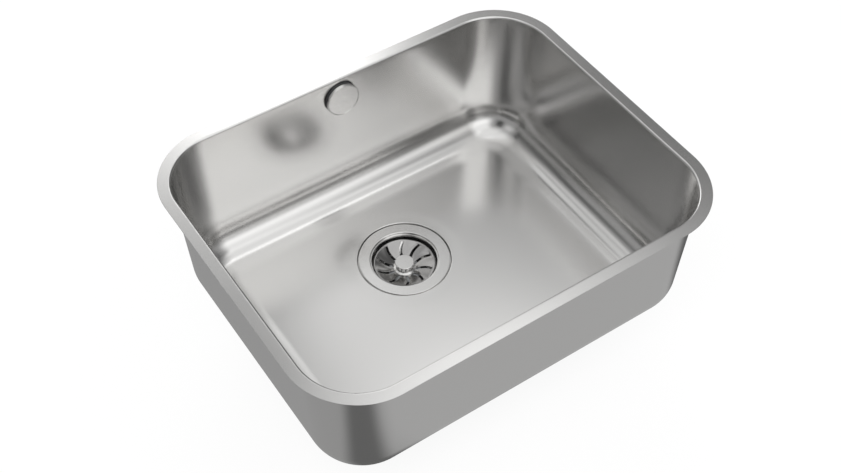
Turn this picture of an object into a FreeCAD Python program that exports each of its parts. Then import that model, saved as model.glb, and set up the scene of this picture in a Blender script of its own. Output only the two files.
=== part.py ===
"""Undermount kitchen sink: one pressed steel bowl with a basket strainer waste and an overflow.

Millimetres. The origin is the centre of the rim's top face. +X runs along the long side,
+Y points at the back wall, which holds the overflow, and +Z is up.
"""
import FreeCAD, Part
import math
import os

from FreeCAD import Vector

os.makedirs("parts", exist_ok=True)

UP = Vector(0, 0, 1)
ORIGIN = Vector(0, 0, 0)

# ---------------------------------------------------------------- driving dimensions: bowl
rim_length = 530.0
rim_width = 430.0
rim_flange = 15.0
sheet = 1.0
opening_corner = 70.0
lip_radius = 2.5
bowl_depth = 178.0
wall_draft = 2.9
floor_fillet = 44.0
floor_fall = 1.2
dish_width = 34.0

# ---------------------------------------------------------------- driving dimensions: waste
drain_x = -8.0
drain_y = 50.0
waste_hole_radius = 45.0
flange_overlap = 11.7
flange_sheet = 0.9
flange_lip = 2.7
flange_edge = 1.2
land_flush = 0.2
flange_gasket_thickness = 2.3
gasket_margin = 1.0
recess_gap = 0.7
recess_edge = 1.0
cup_gap = 2.8
cup_depth = 12.6
cup_edge = 1.6
seat_inner_radius = 24.5
seat_width = 4.2
seat_depth = 24.4
cup_floor_depth = 31.0
cup_slot_count = 6
cup_slot_inner_margin = 2.1
cup_slot_outer_margin = 2.0
cup_slot_bridge = 5.0

body_gasket_thickness = 2.0
body_gasket_inset = 1.5
body_flange_margin = 0.3
body_flange_thickness = 3.2
body_flange_edge = 0.8
body_bore_margin = 0.8
body_wall = 2.7
body_cup_depth = 31.0
body_cone_drop = 15.5
hub_wall = 2.45
hub_length = 21.0
hub_rib_count = 4
hub_rib_thickness = 3.0
hub_rib_depth = 13.0
hub_rib_drop = 1.2
gusset_count = 8
gusset_thickness = 2.4
gusset_drop = 14.0
gusset_nose = 1.0
gusset_inset = 1.5
outlet_thread_radius = 23.9
outlet_thread_length = 20.0
outlet_wall = 3.3
outlet_stop = 2.1
outlet_stop_height = 2.5

# ---------------------------------------------------------------- driving dimensions: clamp screw
screw_radius = 5.0
screw_head_radius = 9.4
screw_head_height = 3.2
screw_head_edge = 1.2
screw_lead_in = 1.0
screw_length = 19.0
screw_slot_width = 2.0
screw_slot_depth = 1.4
insert_wall = 2.0
insert_length = 14.0
insert_depth = 1.6

# ---------------------------------------------------------------- driving dimensions: basket
basket_gap = 4.0
basket_sheet = 0.8
basket_hem = 1.8
basket_rim_width = 1.7
basket_edge = 0.5
basket_rim_depth = 8.0
basket_flat_margin = 0.6
slot_count = 10
slot_width = 2.3
slot_outer_margin = 4.8
slot_inner_margin = 1.6
slot_first_angle = 25.6
slot_middle_turn = 6.2
slot_inner_turn = 5.0

knob_top_depth = 6.5
knob_radius = 11.7
knob_edge = 0.8
knob_head_height = 2.6
knob_neck_height = 1.0
knob_waist_radius = 8.4
knob_flare_height = 2.7
knob_foot_radius = 13.4
knob_foot_edge = 0.7
knob_tube_radius = 6.5
knob_tube_length = 3.7
knob_nut_wall = 2.0
knob_nut_thickness = 2.2
knob_chamber_gap = 0.7
knob_chamber_headroom = 0.6
knob_roof = 2.7

stem_spigot_radius = 4.0
stem_head_lip = 1.0
stem_head_height = 2.3
stem_split = 1.0
stem_split_depth = 6.5
stem_disc_inset = 4.5
stem_disc_drop = 0.2
stem_disc_thickness = 3.0
stem_disc_edge = 0.6
stem_groove_depth = 2.2
stem_groove_width = 1.4
stem_peg_radius = 3.4
stem_peg_length = 22.0
stem_peg_tip = 1.2
seal_margin = 0.8
seal_lip = 0.8
o_ring_depth = 0.9
o_ring_width = 1.4
o_ring_drop = 9.0

# ---------------------------------------------------------------- driving dimensions: overflow
overflow_x = 0.0
overflow_drop = 29.5
overflow_hole_radius = 15.0
collar_overlap = 6.4
collar_thickness = 1.2
collar_sleeve_depth = 2.6
collar_ring_width = 3.0
collar_spoke_count = 4
collar_spoke_width = 4.0
collar_hub_radius = 6.5
cap_overhang = 0.6
cap_stand = 5.7
cap_sheet = 1.0
cap_skirt = 2.6
cap_edge = 1.4
cap_socket_wall = 1.4
overflow_screw_radius = 2.5
overflow_screw_tip = 0.8
overflow_screw_head_radius = 4.6
overflow_screw_head_height = 2.4
overflow_screw_head_edge = 0.9
overflow_screw_cross_width = 1.1
overflow_screw_cross_depth = 1.2
overflow_screw_grip = 12.5
overflow_gasket_thickness = 2.0
elbow_flange_width = 6.0
elbow_flange_thickness = 2.5
elbow_flange_edge = 0.6
elbow_cavity_margin = 0.6
elbow_back_radius = 11.0
elbow_back_edge = 2.0
elbow_wall = 2.0
elbow_boss_radius = 4.6

pipe_radius = 9.0
pipe_wall = 1.4
pipe_bend = 40.0
pipe_wall_gap = 0.9
socket_wall = 2.2
socket_depth = 14.0
socket_length = 22.0
spigot_drop = 24.0
spigot_stand = 6.0
nut_wall = 2.6
nut_height = 17.0
nut_skirt = 2.4
nut_sides = 12
nut_stop_setback = 1.0
washer_height = 4.0

pad_margin = 5.0
pad_corner = 24.0
pad_thickness = 2.0
pad_hole_margin = 8.6

# ---------------------------------------------------------------- clearances
seat_gap = 0.3
slide_fit = 0.05
thread_fit = 0.05
loose_fit = 0.3
collar_gap = 0.1
glue_line = 0.05
end_gap = 1.0
flush_overlap = 0.5
tool_overrun = 5.0

# ---------------------------------------------------------------- worked-out sizes: bowl
rim_corner = opening_corner + rim_flange
opening_length = rim_length - 2.0 * rim_flange
opening_width = rim_width - 2.0 * rim_flange
draft_tan = math.tan(math.radians(wall_draft))
floor_z = -bowl_depth
deck_z = floor_z - floor_fall
foot_top_z = floor_z + floor_fillet * (1.0 - math.sin(math.radians(wall_draft)))
foot_inset = floor_fillet * math.cos(math.radians(wall_draft)) - foot_top_z * draft_tan
pad_length = opening_length - 2.0 * (foot_inset + pad_margin)
pad_width = opening_width - 2.0 * (foot_inset + pad_margin)

# ---------------------------------------------------------------- worked-out sizes: waste
flange_radius = waste_hole_radius + flange_overlap
cup_radius = waste_hole_radius - cup_gap
body_flange_radius = flange_radius + body_flange_margin
recess_radius = flange_radius + recess_gap
pad_hole_radius = recess_radius + pad_hole_margin
dish_radius = recess_radius + dish_width
recess_depth = land_flush + flange_sheet + flange_gasket_thickness
seat_top_z = deck_z - recess_depth
seat_under_z = seat_top_z - sheet
land_z = deck_z - land_flush
cup_floor_z = deck_z - cup_floor_depth
cup_underside_z = cup_floor_z - flange_sheet
cup_slot_inner = screw_head_radius + cup_slot_inner_margin
cup_slot_outer = seat_inner_radius - cup_slot_outer_margin
seat_outer_radius = seat_inner_radius + seat_width
seal_seat_z = deck_z - seat_depth
body_top_z = seat_under_z - body_gasket_thickness
body_bore_radius = waste_hole_radius + body_bore_margin
body_radius = body_bore_radius + body_wall
outlet_bore_radius = outlet_thread_radius - outlet_wall
cone_top_z = body_top_z - body_cup_depth
cone_bottom_z = cone_top_z - body_cone_drop
outlet_thread_top_z = cone_bottom_z - outlet_stop_height
outlet_end_z = outlet_thread_top_z - outlet_thread_length
peg_bore_radius = stem_peg_radius + slide_fit
screw_hole_radius = screw_radius + loose_fit
insert_top_z = cup_underside_z - insert_depth
insert_radius = screw_radius + thread_fit + insert_wall
hub_radius = insert_radius + hub_wall

# ---------------------------------------------------------------- worked-out sizes: basket
basket_radius = cup_radius - basket_gap
basket_flat_radius = knob_foot_radius + basket_flat_margin
slot_outer_radius = basket_radius - slot_outer_margin
slot_inner_radius = basket_flat_radius + slot_inner_margin
slot_middle_radius = (slot_outer_radius + slot_inner_radius) / 2.0
stem_disc_radius = seat_inner_radius - stem_disc_inset
stem_head_radius = stem_spigot_radius + stem_head_lip
seal_radius = seat_outer_radius - seal_margin
seal_under_z = seal_seat_z + seat_gap
groove_top_z = seal_under_z + stem_groove_width
groove_floor_radius = stem_disc_radius - stem_groove_depth
disc_under_z = seal_under_z - stem_disc_drop
disc_top_z = disc_under_z + stem_disc_thickness
knob_tube_end_z = disc_top_z + seat_gap
dish_z = knob_tube_end_z + knob_tube_length
basket_rim_z = deck_z - basket_rim_depth
knob_top_z = deck_z - knob_top_depth
knob_bore_radius = stem_spigot_radius + slide_fit
knob_nut_flats = 2.0 * (knob_tube_radius + knob_nut_wall)
knob_chamber_radius = stem_head_radius + knob_chamber_gap
knob_chamber_height = seat_gap + stem_head_height + knob_chamber_headroom
chamber_top_z = knob_top_z - knob_roof
chamber_floor_z = chamber_top_z - knob_chamber_height
o_ring_z = disc_under_z - o_ring_drop

# ---------------------------------------------------------------- worked-out sizes: overflow
collar_radius = overflow_hole_radius + collar_overlap
collar_hub_top = cap_stand - cap_sheet - seat_gap
cap_socket_length = collar_hub_top - collar_thickness
cap_radius = collar_radius + cap_overhang
elbow_flange_radius = overflow_hole_radius + elbow_flange_width
elbow_cavity_radius = overflow_hole_radius - elbow_cavity_margin
wall_inner_y = opening_width / 2.0 - overflow_drop * draft_tan
wall_outer_z = -sheet * math.cos(math.radians(wall_draft))
gasket_back_z = wall_outer_z - overflow_gasket_thickness
socket_radius = pipe_radius + loose_fit
socket_outer_radius = socket_radius + socket_wall
pipe_bore_radius = pipe_radius - pipe_wall
nut_bore_radius = socket_outer_radius + thread_fit
nut_radius = nut_bore_radius + nut_wall
drop_y = opening_width / 2.0 + sheet + pipe_wall_gap + nut_radius - overflow_drop * draft_tan
elbow_back_z = wall_inner_y - drop_y - socket_outer_radius
socket_end_z = -overflow_drop - elbow_back_radius - socket_length
spigot_z = deck_z - spigot_drop
pipe_plan = Vector(overflow_x - drain_x, drop_y - drain_y, 0)
pipe_heading = Vector(pipe_plan).normalize()
spigot_end = body_radius + spigot_stand + socket_length


# ---------------------------------------------------------------- outline tools
def line(start, end):
    """Give a straight edge between two points."""
    return Part.LineSegment(start, end).toShape()


def rounded_rectangle(length, width, corner, z, x=0.0, y=0.0):
    """Give the wire of a rectangle with round corners, centred at x, y and lying at height z."""
    across = length / 2.0
    along = width / 2.0
    edges = []
    centres = [(1, 1, 0.0), (-1, 1, 90.0), (-1, -1, 180.0), (1, -1, 270.0)]
    points = []
    for side_x, side_y, start in centres:
        centre = Vector(x + side_x * (across - corner), y + side_y * (along - corner), z)
        arc_points = []
        for turn in (0.0, 45.0, 90.0):
            angle = math.radians(start + turn)
            arc_points.append(centre + Vector(math.cos(angle), math.sin(angle), 0) * corner)
        points.append(arc_points)
    for index, arc_points in enumerate(points):
        edges.append(Part.Arc(*arc_points).toShape())
        edges.append(line(arc_points[2], points[(index + 1) % len(points)][0]))
    return Part.Wire(edges)


def rounded_block(length, width, corner, low, high, x=0.0, y=0.0):
    """Give a block with round upright corners between two heights."""
    face = Part.Face(rounded_rectangle(length, width, corner, low, x, y))
    return face.extrude(UP * (high - low))


def eased(points):
    """Cut each corner of an outline back along both of its sides by the corner's third value.

    Each corner is a radius, a height and that cut, which is zero where the corner stays sharp.
    """
    outline = []
    for index, (radius, height, cut) in enumerate(points):
        here = Vector(radius, 0, height)
        if cut == 0:
            outline.append(here)
            continue
        for neighbour in (points[index - 1], points[(index + 1) % len(points)]):
            side = Vector(neighbour[0], 0, neighbour[1]) - here
            outline.append(here + side.normalize() * cut)
    return outline


def section(outline):
    """Give the flat face inside a closed outline of points."""
    return Part.Face(Part.makePolygon(outline + outline[:1]))


def spun(outline, x=0.0, y=0.0):
    """Turn a closed outline of points about the upright axis at x, y."""
    solid = section(outline).revolve(ORIGIN, UP, 360)
    solid.translate(Vector(x, y, 0))
    return solid


def turned(points, x=0.0, y=0.0):
    """Turn an outline of radius, height and corner cut about the upright axis at x, y."""
    return spun(eased(points), x, y)


def on_drain(points):
    """Turn an outline of radius, height and corner cut about the axis of the waste."""
    return turned(points, drain_x, drain_y)


def sheet_on_drain(points, thickness):
    """Turn a pressed sheet about the axis of the waste, from its face and its thickness.

    The face runs through the points, each a radius, a height and a corner cut, and the sheet's
    back lies to the left of it.
    """
    face = eased(points)
    sides = []
    for start, end in zip(face, face[1:]):
        heading = (end - start).normalize()
        sides.append(Vector(-heading.z, 0, heading.x))
    back = [face[0] + sides[0] * thickness]
    for place, before, after in zip(face[1:-1], sides, sides[1:]):
        back.append(place + (before + after) * (thickness / (1.0 + before.dot(after))))
    back.append(face[-1] + sides[-1] * thickness)
    return spun(face + back[::-1], drain_x, drain_y)


def outer_cut(inner_cut, thickness):
    """Give the cut of a sheet's outer corner that keeps its thickness round an inner corner cut."""
    return inner_cut + thickness * (2.0 - math.sqrt(2.0))


def ring(inner, outer, low, high):
    """Give the outline of a plain ring between two radii and two heights."""
    return [(inner, low, 0), (outer, low, 0), (outer, high, 0), (inner, high, 0)]


def rod(radius, start, end):
    """Give a cylinder from one point to another."""
    reach = end - start
    return Part.makeCylinder(radius, reach.Length, start, reach)


def upright(radius, low, high, x=0.0, y=0.0):
    """Give an upright cylinder between two heights."""
    return Part.makeCylinder(radius, high - low, Vector(x, y, low), UP)


def around_drain(shape, angle):
    """Give a copy of a shape turned about the axis of the waste by an angle in degrees."""
    copy = shape.copy()
    copy.rotate(Vector(drain_x, drain_y, 0), UP, angle)
    return copy


def fuse_all(shape, others):
    """Join a list of shapes onto one and merge the faces that lie flush."""
    return shape.fuse(others).removeSplitter()


# ---------------------------------------------------------------- bowl
def level_edges(shape, z):
    """Give the edges of a shape that lie level at height z."""
    return [edge for edge in shape.Edges
            if edge.BoundBox.ZLength < 1e-4 and abs(edge.BoundBox.ZMax - z) < 1e-4]


def tapered_tub(grow, top, bottom):
    """Give the solid inside the drafted walls and their round foot.

    grow is how far it lies outside the bowl's inner face, and top and bottom are its heights.
    """
    centre_x = opening_length / 2.0 - opening_corner
    centre_y = opening_width / 2.0 - opening_corner
    low = opening_corner + grow + bottom * draft_tan
    high = opening_corner + grow + top * draft_tan
    corners = []
    for x in (-centre_x, centre_x):
        for y in (-centre_y, centre_y):
            corners.append(Part.makeCone(low, high, top - bottom, Vector(x, y, bottom), UP))
    wedges = []
    spans = ((centre_x, centre_y, Vector(1, 0, 0)), (centre_y, centre_x, Vector(0, 1, 0)))
    for reach, across, along in spans:
        side = UP.cross(along)
        outline = [along * (-reach - low) + UP * bottom, along * (reach + low) + UP * bottom,
                   along * (reach + high) + UP * top, along * (-reach - high) + UP * top]
        wedge = section(outline).extrude(side * (2.0 * across))
        wedge.translate(side * -across)
        wedges.append(wedge)
    walls = fuse_all(wedges[0], wedges[1:] + corners)
    return walls.makeFillet(floor_fillet + grow, level_edges(walls, bottom))


def floor_dish(lowered):
    """Give the shallow cone by which the floor falls to the waste, lowered by an amount."""
    return on_drain([
        (0, deck_z - lowered, 0),
        (recess_radius, deck_z - lowered, 0),
        (dish_radius, floor_z - lowered, 0),
        (0, floor_z - lowered, 0)])


def bowl_envelope():
    """Give the solid bounded by the outer face of the bowl."""
    return fuse_all(tapered_tub(sheet, -sheet / 2.0, floor_z - sheet), [floor_dish(sheet)])


def mouth_edges(shape, z, grow):
    """Give the edges round the bowl's mouth that lie level at height z."""
    across = opening_length / 2.0 + grow + sheet / 2.0
    along = opening_width / 2.0 + grow + sheet / 2.0
    return [edge for edge in level_edges(shape, z)
            if max(-edge.BoundBox.XMin, edge.BoundBox.XMax) < across
            and max(-edge.BoundBox.YMin, edge.BoundBox.YMax) < along]


def bowl():
    """Press the bowl: flat rim, drafted walls, falling floor, waste recess and overflow hole."""
    rim = rounded_block(rim_length, rim_width, rim_corner, -sheet, 0.0)
    outer_recess = on_drain([
        (0, seat_under_z, 0),
        (recess_radius + sheet, seat_under_z, outer_cut(recess_edge, sheet)),
        (recess_radius + sheet, deck_z - sheet / 2.0, 0),
        (0, deck_z - sheet / 2.0, 0)])
    solid = fuse_all(rim, [bowl_envelope(), outer_recess])
    solid = solid.makeFillet(lip_radius - sheet, mouth_edges(solid, -sheet, sheet))
    cavity = fuse_all(tapered_tub(0.0, 0.0, floor_z), [floor_dish(0.0)])
    inner_recess = on_drain([
        (0, seat_top_z, 0),
        (recess_radius, seat_top_z, recess_edge),
        (recess_radius, deck_z, 0),
        (0, deck_z, 0)])
    hole = upright(waste_hole_radius, seat_under_z - tool_overrun, deck_z, drain_x, drain_y)
    overflow = at_overflow(upright(overflow_hole_radius, wall_outer_z - tool_overrun, tool_overrun))
    solid = solid.cut([cavity, inner_recess, hole, overflow])
    return solid.makeFillet(lip_radius, mouth_edges(solid, 0.0, 0.0))


def sound_pad():
    """Lay the damping sheet against the underside of the floor, with a hole round the waste."""
    low = deck_z - sheet - glue_line - pad_thickness - tool_overrun
    pad = rounded_block(pad_length, pad_width, pad_corner, low, floor_z)
    top = bowl_envelope()
    under = top.copy()
    top.translate(UP * -glue_line)
    under.translate(UP * -(glue_line + pad_thickness))
    hole = upright(pad_hole_radius, low, floor_z, drain_x, drain_y)
    return pad.common(under).cut([top, hole])


# ---------------------------------------------------------------- waste
def flange_face():
    """Give the face of the steel flange from its turned-down lip to the floor of its cup."""
    return [
        (flange_radius, land_z - flange_lip, 0),
        (flange_radius, land_z, flange_edge),
        (cup_radius, land_z, cup_edge),
        (cup_radius, deck_z - cup_depth, 0),
        (seat_outer_radius, seal_seat_z, 0),
        (seat_inner_radius, seal_seat_z, 0),
        (seat_inner_radius, cup_floor_z, cup_edge),
        (screw_hole_radius, cup_floor_z, 0)]


def kidney_slot(inner, outer, share, low, high):
    """Give a ring sector about the waste that spans share degrees, centred on +X."""
    sector = section(eased(ring(inner, outer, low, high))).revolve(ORIGIN, UP, share)
    sector.rotate(ORIGIN, UP, -share / 2.0)
    sector.translate(Vector(drain_x, drain_y, 0))
    return sector


def waste_flange():
    """Press the strainer cup: flat land, round cup, sealing seat and a slotted floor."""
    cup = sheet_on_drain(flange_face(), flange_sheet)
    pitch = 360.0 / cup_slot_count
    bridge = math.degrees(cup_slot_bridge / cup_slot_outer)
    low = cup_underside_z - tool_overrun / 2.0
    high = cup_floor_z + tool_overrun / 2.0
    slot = kidney_slot(cup_slot_inner, cup_slot_outer, pitch - bridge, low, high)
    return cup.cut([around_drain(slot, pitch * index) for index in range(cup_slot_count)])


def flange_gasket():
    """Make the ring that seals the flange's land to the recess in the bowl."""
    inner = waste_hole_radius + gasket_margin
    outer = flange_radius - flange_sheet - flange_edge
    return on_drain(ring(inner, outer, seat_top_z, seat_top_z + flange_gasket_thickness))


def body_gasket():
    """Make the ring that seals the plastic body to the underside of the recess."""
    inner = waste_hole_radius + gasket_margin
    return on_drain(ring(inner, body_flange_radius - body_gasket_inset, body_top_z, seat_under_z))


def body_shell():
    """Turn the waste body: clamping flange, cup, cone and threaded outlet, solid inside."""
    return on_drain([
        (0, body_top_z, 0),
        (body_flange_radius, body_top_z, 0),
        (body_flange_radius, body_top_z - body_flange_thickness, body_flange_edge),
        (body_radius, body_top_z - body_flange_thickness, 0),
        (body_radius, cone_top_z, 0),
        (outlet_thread_radius + outlet_stop, cone_bottom_z, 0),
        (outlet_thread_radius + outlet_stop, outlet_thread_top_z, 0),
        (outlet_thread_radius, outlet_thread_top_z, 0),
        (outlet_thread_radius, outlet_end_z, 0),
        (0, outlet_end_z, 0)])


def body_cavity():
    """Give the space inside the waste body, open at the top and at the outlet."""
    return on_drain([
        (0, body_top_z + tool_overrun, 0),
        (body_bore_radius, body_top_z + tool_overrun, 0),
        (body_bore_radius, cone_top_z + body_wall / 2.0, 0),
        (outlet_bore_radius, cone_bottom_z + body_wall / 2.0, 0),
        (outlet_bore_radius, outlet_end_z - tool_overrun, 0),
        (0, outlet_end_z - tool_overrun, 0)])


def body_hub():
    """Give the hub that holds the threaded insert, on ribs that cross the cup."""
    low = cup_underside_z - hub_length
    hub = upright(hub_radius, low, cup_underside_z, drain_x, drain_y)
    ribs = []
    for index in range(hub_rib_count):
        rib = Part.makeBox(body_radius - body_wall / 2.0, hub_rib_thickness, hub_rib_depth)
        rib.translate(Vector(drain_x, drain_y - hub_rib_thickness / 2.0,
                             cup_underside_z - hub_rib_drop - hub_rib_depth))
        ribs.append(around_drain(rib, 360.0 * (index + 0.5) / hub_rib_count))
    return hub.fuse(ribs).common(body_shell())


def body_gussets():
    """Give the ribs outside the cup that stiffen the clamping flange."""
    top = body_top_z - body_flange_thickness
    start = body_radius - body_wall / 2.0
    end = body_flange_radius - gusset_inset
    outline = eased([
        (start, top + flush_overlap, 0),
        (end, top + flush_overlap, 0),
        (end, top - gusset_nose, 0),
        (start, top - gusset_drop, 0)])
    gusset = section(outline).extrude(Vector(0, gusset_thickness, 0))
    gusset.translate(Vector(drain_x, drain_y - gusset_thickness / 2.0, 0))
    heading = math.degrees(math.atan2(pipe_heading.y, pipe_heading.x))
    pitch = 360.0 / gusset_count
    return [around_drain(gusset, heading + pitch * (index + 0.5)) for index in range(gusset_count)]


def spigot_point(reach):
    """Give the point on the spigot's axis at a reach from the axis of the waste."""
    return Vector(drain_x, drain_y, spigot_z) + pipe_heading * reach


def waste_body():
    """Mould the waste body: cup with hub and ribs, threaded outlet and overflow spigot."""
    spigot = rod(socket_outer_radius, spigot_point(body_radius - body_wall), spigot_point(spigot_end))
    stop = rod(nut_radius - nut_stop_setback, spigot_point(body_radius - body_wall),
               spigot_point(body_radius + spigot_stand - nut_stop_setback))
    outside = body_shell().fuse([spigot, stop] + body_gussets())
    socket = rod(socket_radius, spigot_point(spigot_end - socket_depth),
                 spigot_point(spigot_end + tool_overrun))
    bore = rod(pipe_bore_radius, spigot_point(body_bore_radius - tool_overrun),
               spigot_point(spigot_end))
    hollow = outside.cut([body_cavity(), socket, bore])
    pocket = on_drain([
        (0, insert_top_z - insert_length, 0),
        (insert_radius + glue_line, insert_top_z - insert_length, 0),
        (insert_radius + glue_line, insert_top_z, 0),
        (screw_hole_radius, insert_top_z, 0),
        (screw_hole_radius, cup_underside_z + tool_overrun, 0),
        (0, cup_underside_z + tool_overrun, 0)])
    tip = upright(screw_hole_radius, cup_floor_z - screw_length - end_gap, insert_top_z, drain_x, drain_y)
    return hollow.fuse(body_hub()).cut([pocket, tip]).removeSplitter()


def screw_insert():
    """Turn the brass thread that is moulded into the hub."""
    inner = screw_radius + thread_fit
    return on_drain(ring(inner, insert_radius, insert_top_z - insert_length, insert_top_z))


def clamp_screw():
    """Turn the hollow screw that clamps the cup to the body and guides the basket's peg."""
    head_top = cup_floor_z + screw_head_height
    screw = on_drain([
        (peg_bore_radius, cup_floor_z - screw_length, 0),
        (screw_radius, cup_floor_z - screw_length, 0),
        (screw_radius, cup_floor_z, 0),
        (screw_head_radius, cup_floor_z, 0),
        (screw_head_radius, head_top, screw_head_edge),
        (peg_bore_radius, head_top, screw_lead_in)])
    slot = Part.makeBox(2.0 * screw_head_radius, screw_slot_width, tool_overrun)
    slot.translate(Vector(drain_x - screw_head_radius, drain_y - screw_slot_width / 2.0,
                          head_top - screw_slot_depth))
    return screw.cut(slot)


# ---------------------------------------------------------------- basket
def drain_point(radius, angle, z):
    """Give a point at a radius and an angle in degrees about the axis of the waste."""
    turn = math.radians(angle)
    return Vector(drain_x + radius * math.cos(turn), drain_y + radius * math.sin(turn), z)


def basket_slot(first_angle):
    """Give the cutter of one curved slot, which bows round the basket between its two ends."""
    low = dish_z - tool_overrun
    outer = drain_point(slot_outer_radius, first_angle, low)
    middle = drain_point(slot_middle_radius, first_angle + slot_middle_turn, low)
    inner = drain_point(slot_inner_radius, first_angle + slot_inner_turn, low)
    centre = Part.Arc(outer, middle, inner).toShape().Curve.Center
    half = slot_width / 2.0

    def shifted(point, offset):
        return point + (point - centre).normalize() * offset

    def capped(point, away):
        side = (point - centre).normalize().cross(UP)
        if side.dot(point - away) < 0:
            side = side * -1.0
        return point + side * half

    edges = [
        Part.Arc(shifted(outer, half), shifted(middle, half), shifted(inner, half)).toShape(),
        Part.Arc(shifted(inner, half), capped(inner, outer), shifted(inner, -half)).toShape(),
        Part.Arc(shifted(inner, -half), shifted(middle, -half), shifted(outer, -half)).toShape(),
        Part.Arc(shifted(outer, -half), capped(outer, inner), shifted(outer, half)).toShape()]
    height = basket_rim_z - dish_z + 2.0 * tool_overrun
    return Part.Face(Part.Wire(edges)).extrude(UP * height)


def basket_face():
    """Give the upper face of the strainer from its turned-down rim to the hole for the knob."""
    return [
        (basket_radius, basket_rim_z - basket_hem, 0),
        (basket_radius, basket_rim_z, basket_edge),
        (basket_radius - basket_rim_width, basket_rim_z, 0),
        (basket_flat_radius, dish_z, 0),
        (knob_tube_radius + slide_fit, dish_z, 0)]


def strainer_basket():
    """Press the strainer: turned-down rim, sloping dish with curved slots, hole for the knob."""
    basket = sheet_on_drain(basket_face(), basket_sheet)
    pitch = 360.0 / slot_count
    return basket.cut([basket_slot(slot_first_angle + pitch * index) for index in range(slot_count)])


def basket_knob():
    """Turn the knob: flat head, waist, flared foot and the threaded tube under it."""
    head_under = knob_top_z - knob_head_height
    foot_top = dish_z + knob_foot_edge
    return on_drain([
        (knob_bore_radius, knob_tube_end_z, 0),
        (knob_tube_radius, knob_tube_end_z, 0),
        (knob_tube_radius, dish_z, 0),
        (knob_foot_radius, dish_z, 0),
        (knob_foot_radius, foot_top, 0),
        (knob_waist_radius, foot_top + knob_flare_height, 0),
        (knob_waist_radius, head_under - knob_neck_height, 0),
        (knob_radius, head_under, 0),
        (knob_radius, knob_top_z, knob_edge),
        (0, knob_top_z, 0),
        (0, chamber_top_z, 0),
        (knob_chamber_radius, chamber_top_z, 0),
        (knob_chamber_radius, chamber_floor_z, 0),
        (knob_bore_radius, chamber_floor_z, 0)])


def polygon_prism(flats, sides, low, high, x, y):
    """Give an upright prism on a regular polygon, measured across its flats."""
    radius = flats / 2.0 / math.cos(math.pi / sides)
    points = []
    for index in range(sides + 1):
        angle = 2.0 * math.pi * (index % sides) / sides
        points.append(Vector(x + radius * math.cos(angle), y + radius * math.sin(angle), low))
    return Part.Face(Part.makePolygon(points)).extrude(UP * (high - low))


def knob_nut():
    """Make the nut that clamps the dish to the knob."""
    high = dish_z - basket_sheet
    low = high - knob_nut_thickness
    nut = polygon_prism(knob_nut_flats, 6, low, high, drain_x, drain_y)
    return nut.cut(upright(knob_tube_radius + thread_fit, low - tool_overrun, high + tool_overrun,
                           drain_x, drain_y))


def basket_stem():
    """Turn the stopper's stem: split head, spigot, grooved disc and the peg below it."""
    head_under = chamber_floor_z + seat_gap
    stem = on_drain([
        (0, disc_under_z - stem_peg_length, 0),
        (stem_peg_radius, disc_under_z - stem_peg_length, stem_peg_tip),
        (stem_peg_radius, o_ring_z - o_ring_width, 0),
        (stem_peg_radius - o_ring_depth, o_ring_z - o_ring_width, 0),
        (stem_peg_radius - o_ring_depth, o_ring_z, 0),
        (stem_peg_radius, o_ring_z, 0),
        (stem_peg_radius, disc_under_z, 0),
        (groove_floor_radius, disc_under_z, 0),
        (groove_floor_radius, groove_top_z, 0),
        (stem_disc_radius, groove_top_z, 0),
        (stem_disc_radius, disc_top_z, stem_disc_edge),
        (stem_spigot_radius, disc_top_z, 0),
        (stem_spigot_radius, head_under, 0),
        (stem_head_radius, head_under, 0),
        (stem_spigot_radius, head_under + stem_head_height, 0),
        (0, head_under + stem_head_height, 0)])
    top = head_under + stem_head_height
    split = Part.makeBox(4.0 * stem_head_radius, stem_split, stem_split_depth + tool_overrun)
    split.translate(Vector(drain_x - 2.0 * stem_head_radius, drain_y - stem_split / 2.0,
                           top - stem_split_depth))
    return stem.cut([split, around_drain(split, 90.0)])


def basket_seal():
    """Make the rubber ring that closes the cup's seat when the basket is down."""
    inner = groove_floor_radius + glue_line
    return on_drain([
        (inner, seal_under_z, 0),
        (seal_radius, seal_under_z, 0),
        (seal_radius, seal_under_z + seal_lip, 0),
        (stem_disc_radius, groove_top_z - glue_line, 0),
        (inner, groove_top_z - glue_line, 0)])


def stem_o_ring():
    """Make the ring on the peg that holds the basket where it is set."""
    inner = stem_peg_radius - o_ring_depth + glue_line
    half = glue_line / 2.0
    return on_drain(ring(inner, stem_peg_radius, o_ring_z - o_ring_width + half, o_ring_z - half))


# ---------------------------------------------------------------- overflow
def at_overflow(shape):
    """Move a shape from its own axis to the overflow: its +Z then points squarely off the wall."""
    placed = shape.copy()
    placed.rotate(ORIGIN, Vector(1, 0, 0), 90.0 - wall_draft)
    placed.translate(Vector(overflow_x, wall_inner_y, -overflow_drop))
    return placed


def overflow_collar():
    """Mould the collar inside the bowl: a ring and spokes round the hub that the cap pushes on."""
    inner = overflow_hole_radius - collar_ring_width
    plate = turned(ring(inner, collar_radius, collar_gap, collar_thickness))
    sleeve = turned(ring(inner, overflow_hole_radius - loose_fit, -collar_sleeve_depth, collar_thickness))
    hub = upright(collar_hub_radius, -collar_sleeve_depth, collar_hub_top)
    spokes = []
    for index in range(collar_spoke_count):
        spoke = Part.makeBox(inner + flush_overlap, collar_spoke_width,
                             collar_thickness + collar_sleeve_depth)
        spoke.translate(Vector(0, -collar_spoke_width / 2.0, -collar_sleeve_depth))
        spoke.rotate(ORIGIN, UP, 360.0 * (index + 0.5) / collar_spoke_count)
        spokes.append(spoke)
    solid = fuse_all(plate, [sleeve, hub] + spokes)
    well = upright(overflow_screw_head_radius + loose_fit, collar_thickness / 2.0,
                   collar_hub_top + tool_overrun)
    shank = upright(overflow_screw_radius + loose_fit, -collar_sleeve_depth - tool_overrun,
                    collar_hub_top)
    return at_overflow(solid.cut([well, shank]))


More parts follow.
